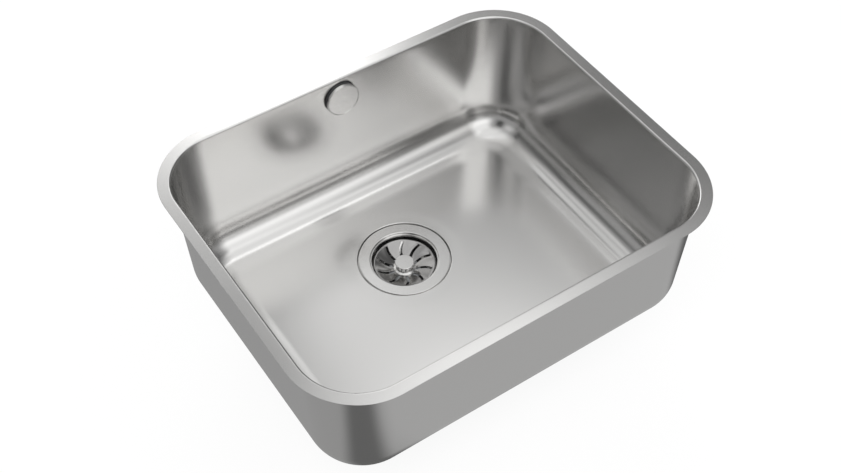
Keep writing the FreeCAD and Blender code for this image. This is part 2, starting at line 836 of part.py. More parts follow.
def overflow_cap():
    """Press the round cap with its rolled edge and the socket that grips the collar's hub."""
    back = cap_stand - cap_sheet
    edge = cap_stand - cap_skirt
    socket_inner = collar_hub_radius + slide_fit
    socket_outer = socket_inner + cap_socket_wall
    cap = turned([
        (0, cap_stand, 0),
        (cap_radius, cap_stand, cap_edge),
        (cap_radius, edge, 0),
        (cap_radius - cap_sheet, edge, 0),
        (cap_radius - cap_sheet, back, cap_edge - cap_sheet / 2.0),
        (socket_outer, back, 0),
        (socket_outer, back - cap_socket_length, 0),
        (socket_inner, back - cap_socket_length, 0),
        (socket_inner, back, 0),
        (0, back, 0)])
    return at_overflow(cap)


def overflow_screw():
    """Turn the screw that pulls the collar and the elbow together through the wall."""
    seat = collar_thickness / 2.0
    head_top = seat + overflow_screw_head_height
    screw = turned([
        (0, -overflow_screw_grip, 0),
        (overflow_screw_radius, -overflow_screw_grip, overflow_screw_tip),
        (overflow_screw_radius, seat, 0),
        (overflow_screw_head_radius, seat, 0),
        (overflow_screw_head_radius, head_top, overflow_screw_head_edge),
        (0, head_top, 0)])
    reach = overflow_screw_head_radius
    blade = Part.makeBox(reach, overflow_screw_cross_width, tool_overrun)
    blade.translate(Vector(-reach / 2.0, -overflow_screw_cross_width / 2.0,
                           head_top - overflow_screw_cross_depth))
    across = blade.copy()
    across.rotate(ORIGIN, UP, 90.0)
    return at_overflow(screw.cut([blade, across]))


def overflow_gasket():
    """Make the ring that seals the elbow to the outside of the wall."""
    inner = overflow_hole_radius + gasket_margin
    return at_overflow(turned(ring(inner, elbow_flange_radius, gasket_back_z, wall_outer_z)))


def overflow_elbow():
    """Mould the elbow behind the wall: flanged cup, screw boss and the socket that points down."""
    neck_z = gasket_back_z - elbow_flange_thickness
    shell = turned([
        (0, gasket_back_z, 0),
        (elbow_flange_radius, gasket_back_z, 0),
        (elbow_flange_radius, neck_z, elbow_flange_edge),
        (elbow_cavity_radius + elbow_wall, neck_z, 0),
        (elbow_back_radius + elbow_wall, elbow_back_z, elbow_back_edge),
        (0, elbow_back_z, 0)])
    cavity = turned([
        (0, gasket_back_z + tool_overrun, 0),
        (elbow_cavity_radius, gasket_back_z + tool_overrun, 0),
        (elbow_cavity_radius, neck_z, 0),
        (elbow_back_radius, elbow_back_z + elbow_wall, 0),
        (0, elbow_back_z + elbow_wall, 0)])
    boss = upright(elbow_boss_radius, elbow_back_z + elbow_wall / 2.0, -collar_sleeve_depth - seat_gap)
    pilot = upright(overflow_screw_radius + thread_fit, -overflow_screw_grip - end_gap, tool_overrun)
    axis = Vector(overflow_x, drop_y, 0)
    start = axis + UP * -overflow_drop
    end = axis + UP * socket_end_z
    tube = rod(socket_outer_radius, start, end)
    socket = rod(socket_radius, end + UP * socket_depth, end - UP * tool_overrun)
    bore = rod(pipe_bore_radius, start, end)
    outside = fuse_all(at_overflow(shell), [tube])
    hollow = outside.cut([at_overflow(cavity), socket, bore])
    return hollow.fuse(at_overflow(boss)).cut(at_overflow(pilot)).removeSplitter()


def pipe_section():
    """Give the flat ring that is the pipe's cross-section, at the top of its drop."""
    top = Vector(overflow_x, drop_y, socket_end_z + socket_depth - end_gap)
    outer = Part.Wire(Part.Circle(top, UP, pipe_radius).toShape())
    inner = Part.Wire(Part.Circle(top, UP, pipe_bore_radius).toShape())
    return Part.Face(outer).cut(Part.Face(inner)).Faces[0]


def overflow_pipe():
    """Bend the moulded pipe that drops behind the bowl and runs under it to the waste body."""
    start = pipe_section()
    fall = UP * (spigot_z + pipe_bend - start.CenterOfMass.z)
    drop = start.extrude(fall)
    elbow_start = start.copy()
    elbow_start.translate(fall)
    axis = UP.cross(pipe_heading)
    centre = Vector(overflow_x, drop_y, spigot_z + pipe_bend) - pipe_heading * pipe_bend
    bend = elbow_start.revolve(centre, axis, 90.0)
    run_start = elbow_start.copy()
    run_start.rotate(centre, axis, 90.0)
    run_end = spigot_end - socket_depth + end_gap
    run_length = pipe_plan.Length - pipe_bend - run_end
    run = run_start.extrude(pipe_heading * -run_length)
    return fuse_all(drop, [bend, run])


def pipe_nut_shape():
    """Give a pipe nut on the Z axis: its open mouth is at zero and its collar is below."""
    nut = polygon_prism(2.0 * nut_radius, nut_sides, -nut_height, 0.0, 0.0, 0.0)
    bore = upright(nut_bore_radius, -nut_height + nut_skirt, tool_overrun)
    way = upright(pipe_radius + loose_fit, -nut_height - tool_overrun, 0.0)
    return nut.cut([bore, way])


def pipe_washer_shape():
    """Give the tapered washer on the Z axis, which fills the mouth of a socket below zero."""
    return turned([
        (pipe_radius + glue_line, -washer_height, 0),
        (socket_outer_radius - seat_gap, -washer_height, 0),
        (socket_outer_radius - seat_gap, -washer_height / 2.0, 0),
        (socket_radius, -glue_line, 0),
        (pipe_radius + glue_line, -glue_line, 0)])


def at_upper_joint(shape):
    """Put a pipe fitting under the elbow's socket, with zero at the socket's end."""
    placed = shape.copy()
    placed.translate(Vector(overflow_x, drop_y, socket_end_z))
    return placed


def at_lower_joint(shape):
    """Put a pipe fitting on the waste body's spigot, with zero at the spigot's end."""
    placed = shape.copy()
    turn = FreeCAD.Rotation(UP * -1.0, pipe_heading)
    placed.Placement = FreeCAD.Placement(spigot_point(spigot_end), turn)
    return placed


def raised_nut():
    """Give a pipe nut drawn up over its socket until the washer is caught in its collar."""
    nut = pipe_nut_shape()
    nut.translate(UP * (nut_height - nut_skirt - washer_height - glue_line))
    return nut


# ---------------------------------------------------------------- all the pieces
def build():
    """Make every piece, keyed by the name of its node."""
    return {
        "bowl": bowl(),
        "sound_pad": sound_pad(),
        "waste_flange": waste_flange(),
        "flange_gasket": flange_gasket(),
        "body_gasket": body_gasket(),
        "waste_body": waste_body(),
        "screw_insert": screw_insert(),
        "clamp_screw": clamp_screw(),
        "strainer_basket": strainer_basket(),
        "basket_knob": basket_knob(),
        "knob_nut": knob_nut(),
        "basket_stem": basket_stem(),
        "basket_seal": basket_seal(),
        "stem_o_ring": stem_o_ring(),
        "overflow_collar": overflow_collar(),
        "overflow_cap": overflow_cap(),
        "overflow_screw": overflow_screw(),
        "overflow_gasket": overflow_gasket(),
        "overflow_elbow": overflow_elbow(),
        "overflow_pipe": overflow_pipe(),
        "upper_pipe_nut": at_upper_joint(raised_nut()),
        "lower_pipe_nut": at_lower_joint(raised_nut()),
        "upper_pipe_washer": at_upper_joint(pipe_washer_shape()),
        "lower_pipe_washer": at_lower_joint(pipe_washer_shape()),
    }


for node, shape in build().items():
    shape.exportStep(os.path.join("parts", node + ".step"))
    box = shape.BoundBox
    print("%-18s solids %d valid %s volume %10.1f  x %7.1f %7.1f  y %7.1f %7.1f  z %7.1f %7.1f" % (
        node, len(shape.Solids), shape.isValid(), shape.Volume,
        box.XMin, box.XMax, box.YMin, box.YMax, box.ZMin, box.ZMax))
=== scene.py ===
"""Looks of an undermount kitchen sink with a basket strainer waste and a covered overflow.

Metres. The origin is the centre of the rim's top face, +X runs along the long side,
+Y points at the back wall, which holds the overflow, and +Z is up.
"""
import logging
import math
from dataclasses import dataclass
from enum import Enum
from typing import Callable, Sequence

import bmesh
import bpy
from mathutils import Matrix, Vector


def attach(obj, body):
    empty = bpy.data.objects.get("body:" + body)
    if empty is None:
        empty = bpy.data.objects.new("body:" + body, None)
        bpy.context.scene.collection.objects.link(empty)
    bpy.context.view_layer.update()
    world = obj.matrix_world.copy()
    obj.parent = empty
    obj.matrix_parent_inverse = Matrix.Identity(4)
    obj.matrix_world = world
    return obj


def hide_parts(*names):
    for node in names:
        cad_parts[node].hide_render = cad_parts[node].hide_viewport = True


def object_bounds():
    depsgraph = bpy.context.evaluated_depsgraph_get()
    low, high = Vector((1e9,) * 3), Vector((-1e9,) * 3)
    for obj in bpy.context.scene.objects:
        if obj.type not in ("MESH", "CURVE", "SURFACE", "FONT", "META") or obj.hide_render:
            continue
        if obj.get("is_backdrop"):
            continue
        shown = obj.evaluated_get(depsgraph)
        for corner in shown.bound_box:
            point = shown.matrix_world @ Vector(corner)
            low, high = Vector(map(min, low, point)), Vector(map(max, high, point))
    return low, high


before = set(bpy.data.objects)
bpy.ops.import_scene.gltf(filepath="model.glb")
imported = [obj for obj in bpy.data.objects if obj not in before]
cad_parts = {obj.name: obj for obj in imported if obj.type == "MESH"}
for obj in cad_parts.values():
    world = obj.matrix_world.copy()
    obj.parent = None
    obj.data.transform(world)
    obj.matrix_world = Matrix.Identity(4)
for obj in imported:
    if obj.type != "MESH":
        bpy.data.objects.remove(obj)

log = logging.getLogger("sink")

Colour = tuple[float, float, float]
Point = tuple[float, float]
Edges = list[bmesh.types.BMEdge]

# The middle of the drain, and the middle of the overflow's hole on the back wall's inner face.
DRAIN = Vector((-0.008, 0.050, 0.0))
OVERFLOW = Vector((0.0, 0.1985055, -0.0295))
# How far the walls lean from upright.
WALL_DRAFT = math.radians(2.9)
# An edge that turns by more than SHARP stays sharp. Vertices closer than MERGE become one.
SHARP = math.radians(32.0)
MERGE = 2e-6

WHITE = (1.0, 1.0, 1.0, 1.0)
SATIN_STEEL = (0.78, 0.775, 0.765)
BRIGHT_STEEL = (0.80, 0.795, 0.785)
PLAIN_STEEL = (0.62, 0.61, 0.60)
PALE_PLASTIC = (0.72, 0.72, 0.70)

# The camera's place at the photograph's viewing angle, and its lens in millimetres.
CAMERA_PLACE = Matrix((
    (0.83068, 0.42329, -0.36166, -0.558329),
    (-0.55675, 0.63244, -0.53856, -0.804716),
    (0.00076, 0.64873, 0.76102, 1.054815),
    (0.0, 0.0, 0.0, 1.0)))
CAMERA_LENS = 55.638
SENSOR_WIDTH = 36.0


# ---------------------------------------------------------------- outlines
@dataclass(frozen=True)
class Corner:
    """One corner of an outline.

    Attributes:
        radius: distance from the axis.
        height: height of the corner.
        rounding: radius of its rounding, zero where it stays sharp.
        steps: number of chords in the rounding.
    """

    radius: float
    height: float
    rounding: float = 0.0
    steps: int = 6


def softened(corners: Sequence[Corner], guard: float = 0.0) -> list[Point]:
    """Round the corners of an open outline.

    Args:
        corners: the outline's corners in order.
        guard: distance from a rounding to an extra point that keeps the flat beside it flat.

    Returns:
        The points of the rounded outline.
    """
    ends = [corners[0], *corners, corners[-1]]
    points: list[Point] = []
    for before, here, after in zip(ends, corners, ends[2:]):
        place = Vector((here.radius, here.height))
        if here.rounding == 0.0 or before is here or after is here:
            points.append(tuple(place))
            continue
        back = (Vector((before.radius, before.height)) - place).normalized()
        ahead = (Vector((after.radius, after.height)) - place).normalized()
        half = back.angle(ahead) / 2.0
        reach = here.rounding / math.tan(half)
        centre = place + (back + ahead).normalized() * (here.rounding / math.sin(half))
        start = place + back * reach - centre
        turn = math.pi - 2.0 * half
        if back.x * ahead.y - back.y * ahead.x > 0.0:
            turn = -turn
        if guard:
            points.append(tuple(place + back * (reach + guard)))
        for step in range(here.steps + 1):
            angle = turn * step / here.steps
            cosine, sine = math.cos(angle), math.sin(angle)
            points.append((centre.x + start.x * cosine - start.y * sine,
                           centre.y + start.x * sine + start.y * cosine))
        if guard:
            points.append(tuple(place + ahead * (reach + guard)))
    return points


def with_rows(points: Sequence[Point], places: Sequence[float], axis: int) -> list[Point]:
    """Add points to an outline where it passes given radii or heights.

    Args:
        points: the outline.
        places: radii or heights to add a point at.
        axis: 0 where the places are radii, 1 where they are heights.

    Returns:
        The outline with the added points.
    """
    rows = [points[0]]
    for start, end in zip(points, points[1:]):
        low, high = sorted((start[axis], end[axis]))
        inside = [place for place in places if low + MERGE < place < high - MERGE]
        for place in sorted(inside, reverse=end[axis] < start[axis]):
            share = (place - start[axis]) / (end[axis] - start[axis])
            rows.append((start[0] + (end[0] - start[0]) * share,
                         start[1] + (end[1] - start[1]) * share))
        rows.append(end)
    return rows


# ---------------------------------------------------------------- meshes
def stand(name: str, mesh: bmesh.types.BMesh, material: bpy.types.Material) -> bpy.types.Object:
    """Stand a finished mesh in the scene.

    Args:
        name: name of the object.
        mesh: its mesh, which is used up.
        material: its only material.

    Returns:
        The new object.
    """
    data = bpy.data.meshes.new(name)
    mesh.to_mesh(data)
    mesh.free()
    data.materials.append(material)
    made = bpy.data.objects.new(name, data)
    bpy.context.scene.collection.objects.link(made)
    return made


class Form:
    """A mesh that grows by operators and then becomes one piece of the sink."""

    def __init__(self) -> None:
        """Start with nothing."""
        self.mesh = bmesh.new()

    def chain(self, points: Sequence[Sequence[float]]) -> Edges:
        """Join points by edges.

        Args:
            points: the places of the new vertices in order.

        Returns:
            The new edges.
        """
        verts = [self.mesh.verts.new(point) for point in points]
        return [self.mesh.edges.new(pair) for pair in zip(verts, verts[1:])]

    def push(self, edges: Edges, offset: Vector) -> Edges:
        """Extrude a chain of edges along an offset.

        Args:
            edges: the chain.
            offset: how far and where it goes.

        Returns:
            The chain at its new place.
        """
        made = bmesh.ops.extrude_edge_only(self.mesh, edges=edges)["geom"]
        verts = {item for item in made if isinstance(item, bmesh.types.BMVert)}
        bmesh.ops.translate(self.mesh, verts=list(verts), vec=offset)
        return [item for item in made
                if isinstance(item, bmesh.types.BMEdge) and verts.issuperset(item.verts)]

    def spin(self, edges: Edges, centre: Sequence[float], angle: float, steps: int) -> Edges:
        """Spin a chain of edges about an upright axis.

        Args:
            edges: the chain.
            centre: a point of the axis.
            angle: how far it turns, in radians.
            steps: number of steps.

        Returns:
            The chain at its last place.
        """
        verts = {vert for edge in edges for vert in edge.verts}
        made = bmesh.ops.spin(self.mesh, geom=[*verts, *edges], cent=centre, axis=(0, 0, 1),
                              angle=angle, steps=steps, use_merge=angle > math.tau - MERGE)
        return [item for item in made["geom_last"] if isinstance(item, bmesh.types.BMEdge)]

    def turn(self, points: Sequence[Point], steps: int, closed: bool = False) -> None:
        """Turn an outline once round the upright axis through the origin.

        Args:
            points: radius and height of each point.
            steps: number of steps.
            closed: whether the last point joins the first.
        """
        ring = [*points, points[0]] if closed else points
        edges = self.chain([(radius, 0.0, height) for radius, height in ring])
        self.spin(edges, (0.0, 0.0, 0.0), math.tau, steps)
        self.close()

    def close(self) -> None:
        """Merge what lies together and make all faces point the same way out."""
        bmesh.ops.remove_doubles(self.mesh, verts=self.mesh.verts[:], dist=MERGE)
        bmesh.ops.dissolve_degenerate(self.mesh, dist=MERGE / 2.0, edges=self.mesh.edges[:])
        bmesh.ops.recalc_face_normals(self.mesh, faces=self.mesh.faces[:])

    def face_up(self, up: Callable[[bmesh.types.BMFace], bool]) -> None:
        """Reverse all faces unless a test face says that they point the right way."""
        if not up(max(self.mesh.faces, key=lambda face: face.calc_area())):
            bmesh.ops.reverse_faces(self.mesh, faces=self.mesh.faces[:])

    def thicken(self, sheet: float) -> None:
        """Give the open surface a sheet's thickness behind its faces."""
        bmesh.ops.solidify(self.mesh, geom=self.mesh.faces[:], thickness=sheet)
        bmesh.ops.recalc_face_normals(self.mesh, faces=self.mesh.faces[:])

    def slice(self, height: float, top: float) -> None:
        """Cut a row of vertices into the lower faces.

        Args:
            height: height of the cut.
            top: only faces whose middle lies below this height are cut.
        """
        faces = [face for face in self.mesh.faces if face.calc_center_median().z < top]
        edges = {edge for face in faces for edge in face.edges}
        verts = {vert for face in faces for vert in face.verts}
        bmesh.ops.bisect_plane(self.mesh, geom=[*verts, *edges, *faces], dist=MERGE / 4.0,
                               plane_co=(0.0, 0.0, height), plane_no=(0.0, 0.0, 1.0))

    def boundary(self, test: Callable[[Vector], bool]) -> Edges:
        """Find the open edges whose two ends pass a test."""
        return [edge for edge in self.mesh.edges
                if edge.is_boundary and all(test(vert.co) for vert in edge.verts)]

    def move(self, matrix: Matrix) -> None:
        """Move the whole mesh by a matrix."""
        bmesh.ops.transform(self.mesh, matrix=matrix, verts=self.mesh.verts[:])

    def piece(self, name: str, body: str, slot: str, material: bpy.types.Material,
              *nodes: str) -> None:
        """Make the mesh an object of the sink.

        Args:
            name: the piece's name.
            body: the body that it rides on.
            slot: the record's material slot; not used.
            material: its finish.
            nodes: the nodes that it stands for.
        """
        for face in self.mesh.faces:
            face.smooth = True
        for edge in self.mesh.edges:
            if len(edge.link_faces) == 2 and edge.calc_face_angle(0.0) > SHARP:
                edge.smooth = False
        made = stand(name, self.mesh, material)
        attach(made, body)
        if nodes:
            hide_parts(*nodes)
        log.info("%s: %d faces on %s", name, len(made.data.polygons), body)


# ---------------------------------------------------------------- shader tools
class Wire:
    """A value on its way between two nodes. Sums on it add Math nodes."""

    def __init__(self, tree: bpy.types.NodeTree, socket: bpy.types.NodeSocket) -> None:
        """Keep the tree and the socket that the value comes from."""
        self.tree = tree
        self.socket = socket

    def _sum(self, operation: str, first: "Wire | float", second: "Wire | float") -> "Wire":
        """Add a Math node.

        Args:
            operation: its operation.
            first: its first value.
            second: its second value.

        Returns:
            The wire from its result.
        """
        node = self.tree.nodes.new("ShaderNodeMath")
        node.operation = operation
        for port, value in zip(node.inputs, (first, second)):
            if isinstance(value, Wire):
                self.tree.links.new(value.socket, port)
            else:
                port.default_value = value
        return Wire(self.tree, node.outputs[0])

    def __add__(self, other: "Wire | float") -> "Wire":
        """Add."""
        return self._sum("ADD", self, other)

    def __radd__(self, other: float) -> "Wire":
        """Add, from the right."""
        return self._sum("ADD", other, self)

    def __sub__(self, other: "Wire | float") -> "Wire":
        """Subtract."""
        return self._sum("SUBTRACT", self, other)

    def __rsub__(self, other: float) -> "Wire":
        """Subtract, from the right."""
        return self._sum("SUBTRACT", other, self)

    def __mul__(self, other: "Wire | float") -> "Wire":
        """Multiply."""
        return self._sum("MULTIPLY", self, other)

    def __rmul__(self, other: float) -> "Wire":
        """Multiply, from the right."""
        return self._sum("MULTIPLY", other, self)


class Recipe:
    """The nodes of one material or of the world."""

    def __init__(self, tree: bpy.types.NodeTree) -> None:
        """Start with an empty tree."""
        self.tree = tree
        tree.nodes.clear()

    def node(self, kind: str, settings: dict | None = None, inputs: dict | None = None,
             output: int | str = 0) -> Wire:
        """Add one node.

        Args:
            kind: the node's type.
            settings: its properties, set first.
            inputs: values or wires for its sockets.
            output: the socket that the result comes from.

        Returns:
            The wire from that socket.
        """
        made = self.tree.nodes.new(kind)
        for name, value in (settings or {}).items():
            setattr(made, name, value)
        for port, value in (inputs or {}).items():
            if isinstance(value, Wire):
                self.tree.links.new(value.socket, made.inputs[port])
            else:
                made.inputs[port].default_value = value
        return Wire(self.tree, made.outputs[output])

    def noise(self, place: Wire, scale: float, detail: float = 3.0) -> Wire:
        """Give noise between 0 and 1 at a place."""
        return self.node("ShaderNodeTexNoise", inputs={"Vector": place, "Scale": scale,
                                                       "Detail": detail})

    def scaled(self, place: Wire, scale: Sequence[float],
               centre: Sequence[float] = (0.0, 0.0, 0.0)) -> Wire:
        """Measure a place from a centre and scale it on each axis."""
        shift = [-middle * size for middle, size in zip(centre, scale)]
        return self.node("ShaderNodeMapping", inputs={"Vector": place, "Scale": scale,
                                                      "Location": shift})

    def tint(self, colour: Colour, darker: float, share: Wire) -> Wire:
        """Mix a colour with a darker tone of itself."""
        shade = [channel * darker for channel in colour]
        return self.node("ShaderNodeMix", {"data_type": "RGBA"},
                         {0: share, 6: (*colour, 1.0), 7: (*shade, 1.0)}, output=2)

    def bump(self, height: Wire, depth: float) -> Wire:
        """Turn a height into a normal."""
        return self.node("ShaderNodeBump", inputs={"Height": height, "Distance": depth})

    def surface(self, shader: Wire, kind: str = "ShaderNodeOutputMaterial") -> None:
        """Link a shader to the output."""
        made = self.tree.nodes.new(kind)
        self.tree.links.new(shader.socket, made.inputs["Surface"])


def new_material(name: str) -> tuple[bpy.types.Material, Recipe]:
    """Start a material.

    Args:
        name: its name.

    Returns:
        The material and its empty recipe.
    """
    made = bpy.data.materials.new(name)
    made.use_nodes = True
    return made, Recipe(made.node_tree)


class Grain(Enum):
    """Which way the polishing marks on a steel piece run."""

    ALONG_SHEET = "along the sheet"
    ROUND_WASTE = "round the waste"
    ROUND_OVERFLOW = "round the overflow"


@dataclass(frozen=True)
class Steel:
    """Stainless steel with fine polishing marks.

    Attributes:
        name: name of the material.
        colour: its reflected colour.
        roughness: mean roughness.
        grain: which way the marks run.
        pitch: distance between marks.
        relief: height of the marks.
        length: length of a mark along the sheet, in pitches.
        clouds: number of broad, faint clouds in a metre.
        uneven: how much the marks and the clouds each add to the roughness.
        shade: tone of the colour between the marks.
    """

    name: str
    colour: Colour
    roughness: float
    grain: Grain
    pitch: float = 0.00035
    relief: float = 0.00000015
    length: float = 60.0
    clouds: float = 9.0
    uneven: float = 0.03
    shade: float = 0.97

    def _marks(self, recipe: Recipe) -> tuple[Wire, Wire]:
        """Lay the polishing marks.

        Args:
            recipe: the material's recipe.

        Returns:
            The place on the surface and the height of the marks.
        """
        place = recipe.node("ShaderNodeTexCoord", output="Object")
        if self.grain is Grain.ALONG_SHEET:
            sheet = recipe.node("ShaderNodeTexCoord", output="UV")
            along = recipe.scaled(
                sheet, (1.0 / (self.length * self.pitch), 1.0 / self.pitch, 1.0))
        else:
            level = self.grain is Grain.ROUND_WASTE
            centre = DRAIN if level else OVERFLOW
            flat = (1.0, 1.0, 0.0) if level else (1.0, 0.0, 1.0)
            out = recipe.scaled(place, flat, centre)
            radius = recipe.node("ShaderNodeVectorMath", {"operation": "LENGTH"}, {0: out},
                                 output="Value")
            depth = recipe.node("ShaderNodeSeparateXYZ", inputs={0: place},
                                output="Z" if level else "Y")
            dense = 1.0 / self.pitch
            along = recipe.node("ShaderNodeCombineXYZ",
                                inputs={0: radius * dense, 1: depth * dense})
        return place, recipe.noise(along, 1.0)

    def material(self) -> bpy.types.Material:
        """Make the material.

        Returns:
            The material.
        """
        made, recipe = new_material(self.name)
        place, marks = self._marks(recipe)
        clouds = recipe.noise(place, self.clouds)
        roughness = marks * self.uneven + clouds * self.uneven + (self.roughness - self.uneven)
        shader = recipe.node("ShaderNodeBsdfPrincipled", inputs={
            "Base Color": recipe.tint(self.colour, self.shade, marks),
            "Metallic": 1.0,
            "Roughness": roughness,
            "Normal": recipe.bump(marks, self.relief)})
        recipe.surface(shader)
        return made


@dataclass(frozen=True)
class Moulded:
    """Moulded plastic with a fine spark-eroded skin.

    Attributes:
        name: name of the material.
        colour: its colour.
        roughness: mean roughness.
        skin: height of the skin's grain.
        grains: number of grains of the skin in a metre.
        grain_uneven: how much the grain adds to the roughness.
        flow: number of flow marks in a metre on each axis.
        flow_uneven: how much the flow marks add to the roughness.
        shade: tone of the colour between the flow marks.
    """

    name: str
    colour: Colour
    roughness: float = 0.42
    skin: float = 0.00002
    grains: float = 1800.0
    grain_uneven: float = 0.08
    flow: tuple[float, float, float] = (14.0, 14.0, 40.0)
    flow_uneven: float = 0.10
    shade: float = 0.88

    def material(self) -> bpy.types.Material:
        """Make the material.

        Returns:
            The material.
        """
        made, recipe = new_material(self.name)
        place = recipe.node("ShaderNodeTexCoord", output="Object")
        grain = recipe.noise(place, self.grains, 2.0)
        flow = recipe.noise(recipe.scaled(place, self.flow), 1.0, 4.0)
        smooth = self.roughness - (self.grain_uneven + self.flow_uneven) / 2.0
        shader = recipe.node("ShaderNodeBsdfPrincipled", inputs={
            "Base Color": recipe.tint(self.colour, self.shade, flow),
            "Roughness": grain * self.grain_uneven + flow * self.flow_uneven + smooth,
            "Normal": recipe.bump(grain, self.skin)})
        recipe.surface(shader)
        return made


@dataclass(frozen=True)
class Rubber:
    """Rubber, sponge or bitumen sheet with a matt, pitted skin.

    Attributes:
        name: name of the material.
        colour: its colour.
        pores: number of pits in a metre.
        pit: depth of the pits.
        roughness: mean roughness.
        patches: number of broad, darker patches in a metre.
        pit_share: share of the pits in what darkens the colour.
        uneven: how much the pits add to the roughness.
        shade: tone of the colour where it is darkest.
    """

    name: str
    colour: Colour
    pores: float = 900.0
    pit: float = 0.00006
    roughness: float = 0.72
    patches: float = 25.0
    pit_share: float = 0.6
    uneven: float = 0.12
    shade: float = 0.62

    def material(self) -> bpy.types.Material:
        """Make the material.

        Returns:
            The material.
        """
        made, recipe = new_material(self.name)
        place = recipe.node("ShaderNodeTexCoord", output="Object")
        pits = recipe.noise(place, self.pores)
        patches = recipe.noise(place, self.patches)
        dark = pits * self.pit_share + patches * (1.0 - self.pit_share)
        shader = recipe.node("ShaderNodeBsdfPrincipled", inputs={
            "Base Color": recipe.tint(self.colour, self.shade, dark),
            "Roughness": pits * self.uneven + (self.roughness - self.uneven / 2.0),
            "Normal": recipe.bump(pits, self.pit)})
        recipe.surface(shader)
        return made


# ---------------------------------------------------------------- bowl
@dataclass
class Bowl:
    """The pressed bowl with its flat rim, raised floor border, waste recess and overflow hole.

    Attributes:
        centre_x: distance from the middle to the centre of the corners along X.
        centre_y: the same along Y.
        rim_corner: radius of the rim's corners.
        rim_edge: rounding of the rim's upper edge.
        opening_corner: radius of the opening's corners.
        lip: radius at which the wall turns down from the rim.
        depth: depth of the floor below the rim.
        slope: how steeply the floor's border rises to the foot of the walls.
        slope_start: distance from a corner's centre to the line where that rise starts.
        slope_bend: radius of the bend from the floor into the rise.
        foot: radius between the rise and the wall.
        sheet: thickness of the sheet.
        fall: how far the floor falls to the waste.
        fall_steps: number of rows of faces in that fall.
        dish_radius: where that fall starts.
        apron: width of the flat round the recess.
        recess_radius: radius of the recess for the waste.
        recess_lip: rounding of the recess's mouth.
        recess_foot: rounding of the recess's foot.
        recess_depth: depth of the recess.
        waste_hole: radius of the hole for the waste.
        overflow_hole: radius of the hole for the overflow.
        patch: half the side of the square of wall round that hole.
        wall_rows: heights of extra rows of vertices in the walls.
        level_rise: faces less than this above the floor take the floor's straight grain.
        corner_steps: number of steps round a corner.
        round_steps: number of steps round the waste.
        guard: distance from a bend to the row that keeps the flat beside it flat.
        fine_guard: the same in the recess.
    """

    centre_x: float = 0.180
    centre_y: float = 0.130
    rim_corner: float = 0.085
    rim_edge: float = 0.00025
    opening_corner: float = 0.070
    lip: float = 0.0025
    depth: float = 0.1789
    slope: float = math.radians(7.5)
    slope_start: float = 0.01425
    slope_bend: float = 0.090
    foot: float = 0.0415
    sheet: float = 0.001
    fall: float = 0.0001
    fall_steps: int = 16
    dish_radius: float = 0.0785
    apron: float = 0.0025
    recess_radius: float = 0.0578
    recess_lip: float = 0.0008
    recess_foot: float = 0.001
    recess_depth: float = 0.0036
    waste_hole: float = 0.045
    overflow_hole: float = 0.015
    patch: float = 0.020
    wall_rows: tuple[float, ...] = (-0.075, -0.100, -0.120)
    level_rise: float = 0.002075
    corner_steps: int = 36
    round_steps: int = 144
    guard: float = 0.0006
    fine_guard: float = 0.0002

    def profile(self) -> list[Point]:
        """Draw the walls.

        Returns:
            The profile from the rim's outer edge to the flat of the floor.
        """
        draft = math.tan(WALL_DRAFT)
        run = self.opening_corner - self.depth * draft - self.slope_start
        run /= math.cos(self.slope) - draft * math.sin(self.slope)
        wall_foot = self.slope_start + run * math.cos(self.slope)
        flat_end = self.slope_start - self.slope_bend * math.tan(self.slope / 2.0) - self.guard
        corners = [
            Corner(self.rim_corner, -self.rim_edge),
            Corner(self.rim_corner - self.rim_edge, 0.0),
            Corner(self.opening_corner, 0.0, self.lip, steps=14),
            Corner(wall_foot, run * math.sin(self.slope) - self.depth, self.foot, steps=60),
            Corner(self.slope_start, -self.depth, self.slope_bend, steps=12),
            Corner(flat_end, -self.depth)]
        points = softened(corners)
        points.insert(2, (self.rim_corner - self.rim_edge - self.guard, 0.0))
        points.insert(3, (self.opening_corner + self.lip + self.guard, 0.0))
        patch_rows = (OVERFLOW.z + self.patch, OVERFLOW.z - self.patch)
        return with_rows(points, [*patch_rows, *self.wall_rows], 1)

    def _side(self, form: Form, edges: Edges, heading: Vector, length: float,
              stops: Sequence[float]) -> Edges:
        """Extrude the profile along a straight side.

        Args:
            form: the bowl's mesh.
            edges: the profile at the start of the side.
            heading: the side's direction.
            length: the side's length.
            stops: distances along it that get a column of vertices.

        Returns:
            The profile at the end of the side.
        """
        done = 0.0
        for stop in (self.guard, *stops, length - self.guard, length):
            edges = form.push(edges, heading * (stop - done))
            done = stop
        return edges

    def _walls(self, form: Form) -> None:
        """Sweep the profile round the four corners and along the four sides.

        Args:
            form: the bowl's mesh.
        """
        edges = form.chain([(self.centre_x + radius, self.centre_y, height)
                            for radius, height in self.profile()])
        quarter = math.pi / 2.0
        long, wide = 2.0 * self.centre_x, 2.0 * self.centre_y
        middle = long / 2.0
        across = (middle / 2.0, middle - self.patch, middle + self.patch, 1.5 * middle)
        ways = (
            (self.centre_x, self.centre_y, Vector((-1, 0, 0)), long, across),
            (-self.centre_x, self.centre_y, Vector((0, -1, 0)), wide, (wide / 2.0,)),
            (-self.centre_x, -self.centre_y, Vector((1, 0, 0)), long, across),
            (self.centre_x, -self.centre_y, Vector((0, 1, 0)), wide, (wide / 2.0,)))
        for x, y, heading, length, stops in ways:
            edges = form.spin(edges, (x, y, 0.0), quarter, self.corner_steps)
            edges = self._side(form, edges, heading, length, stops)
        form.close()

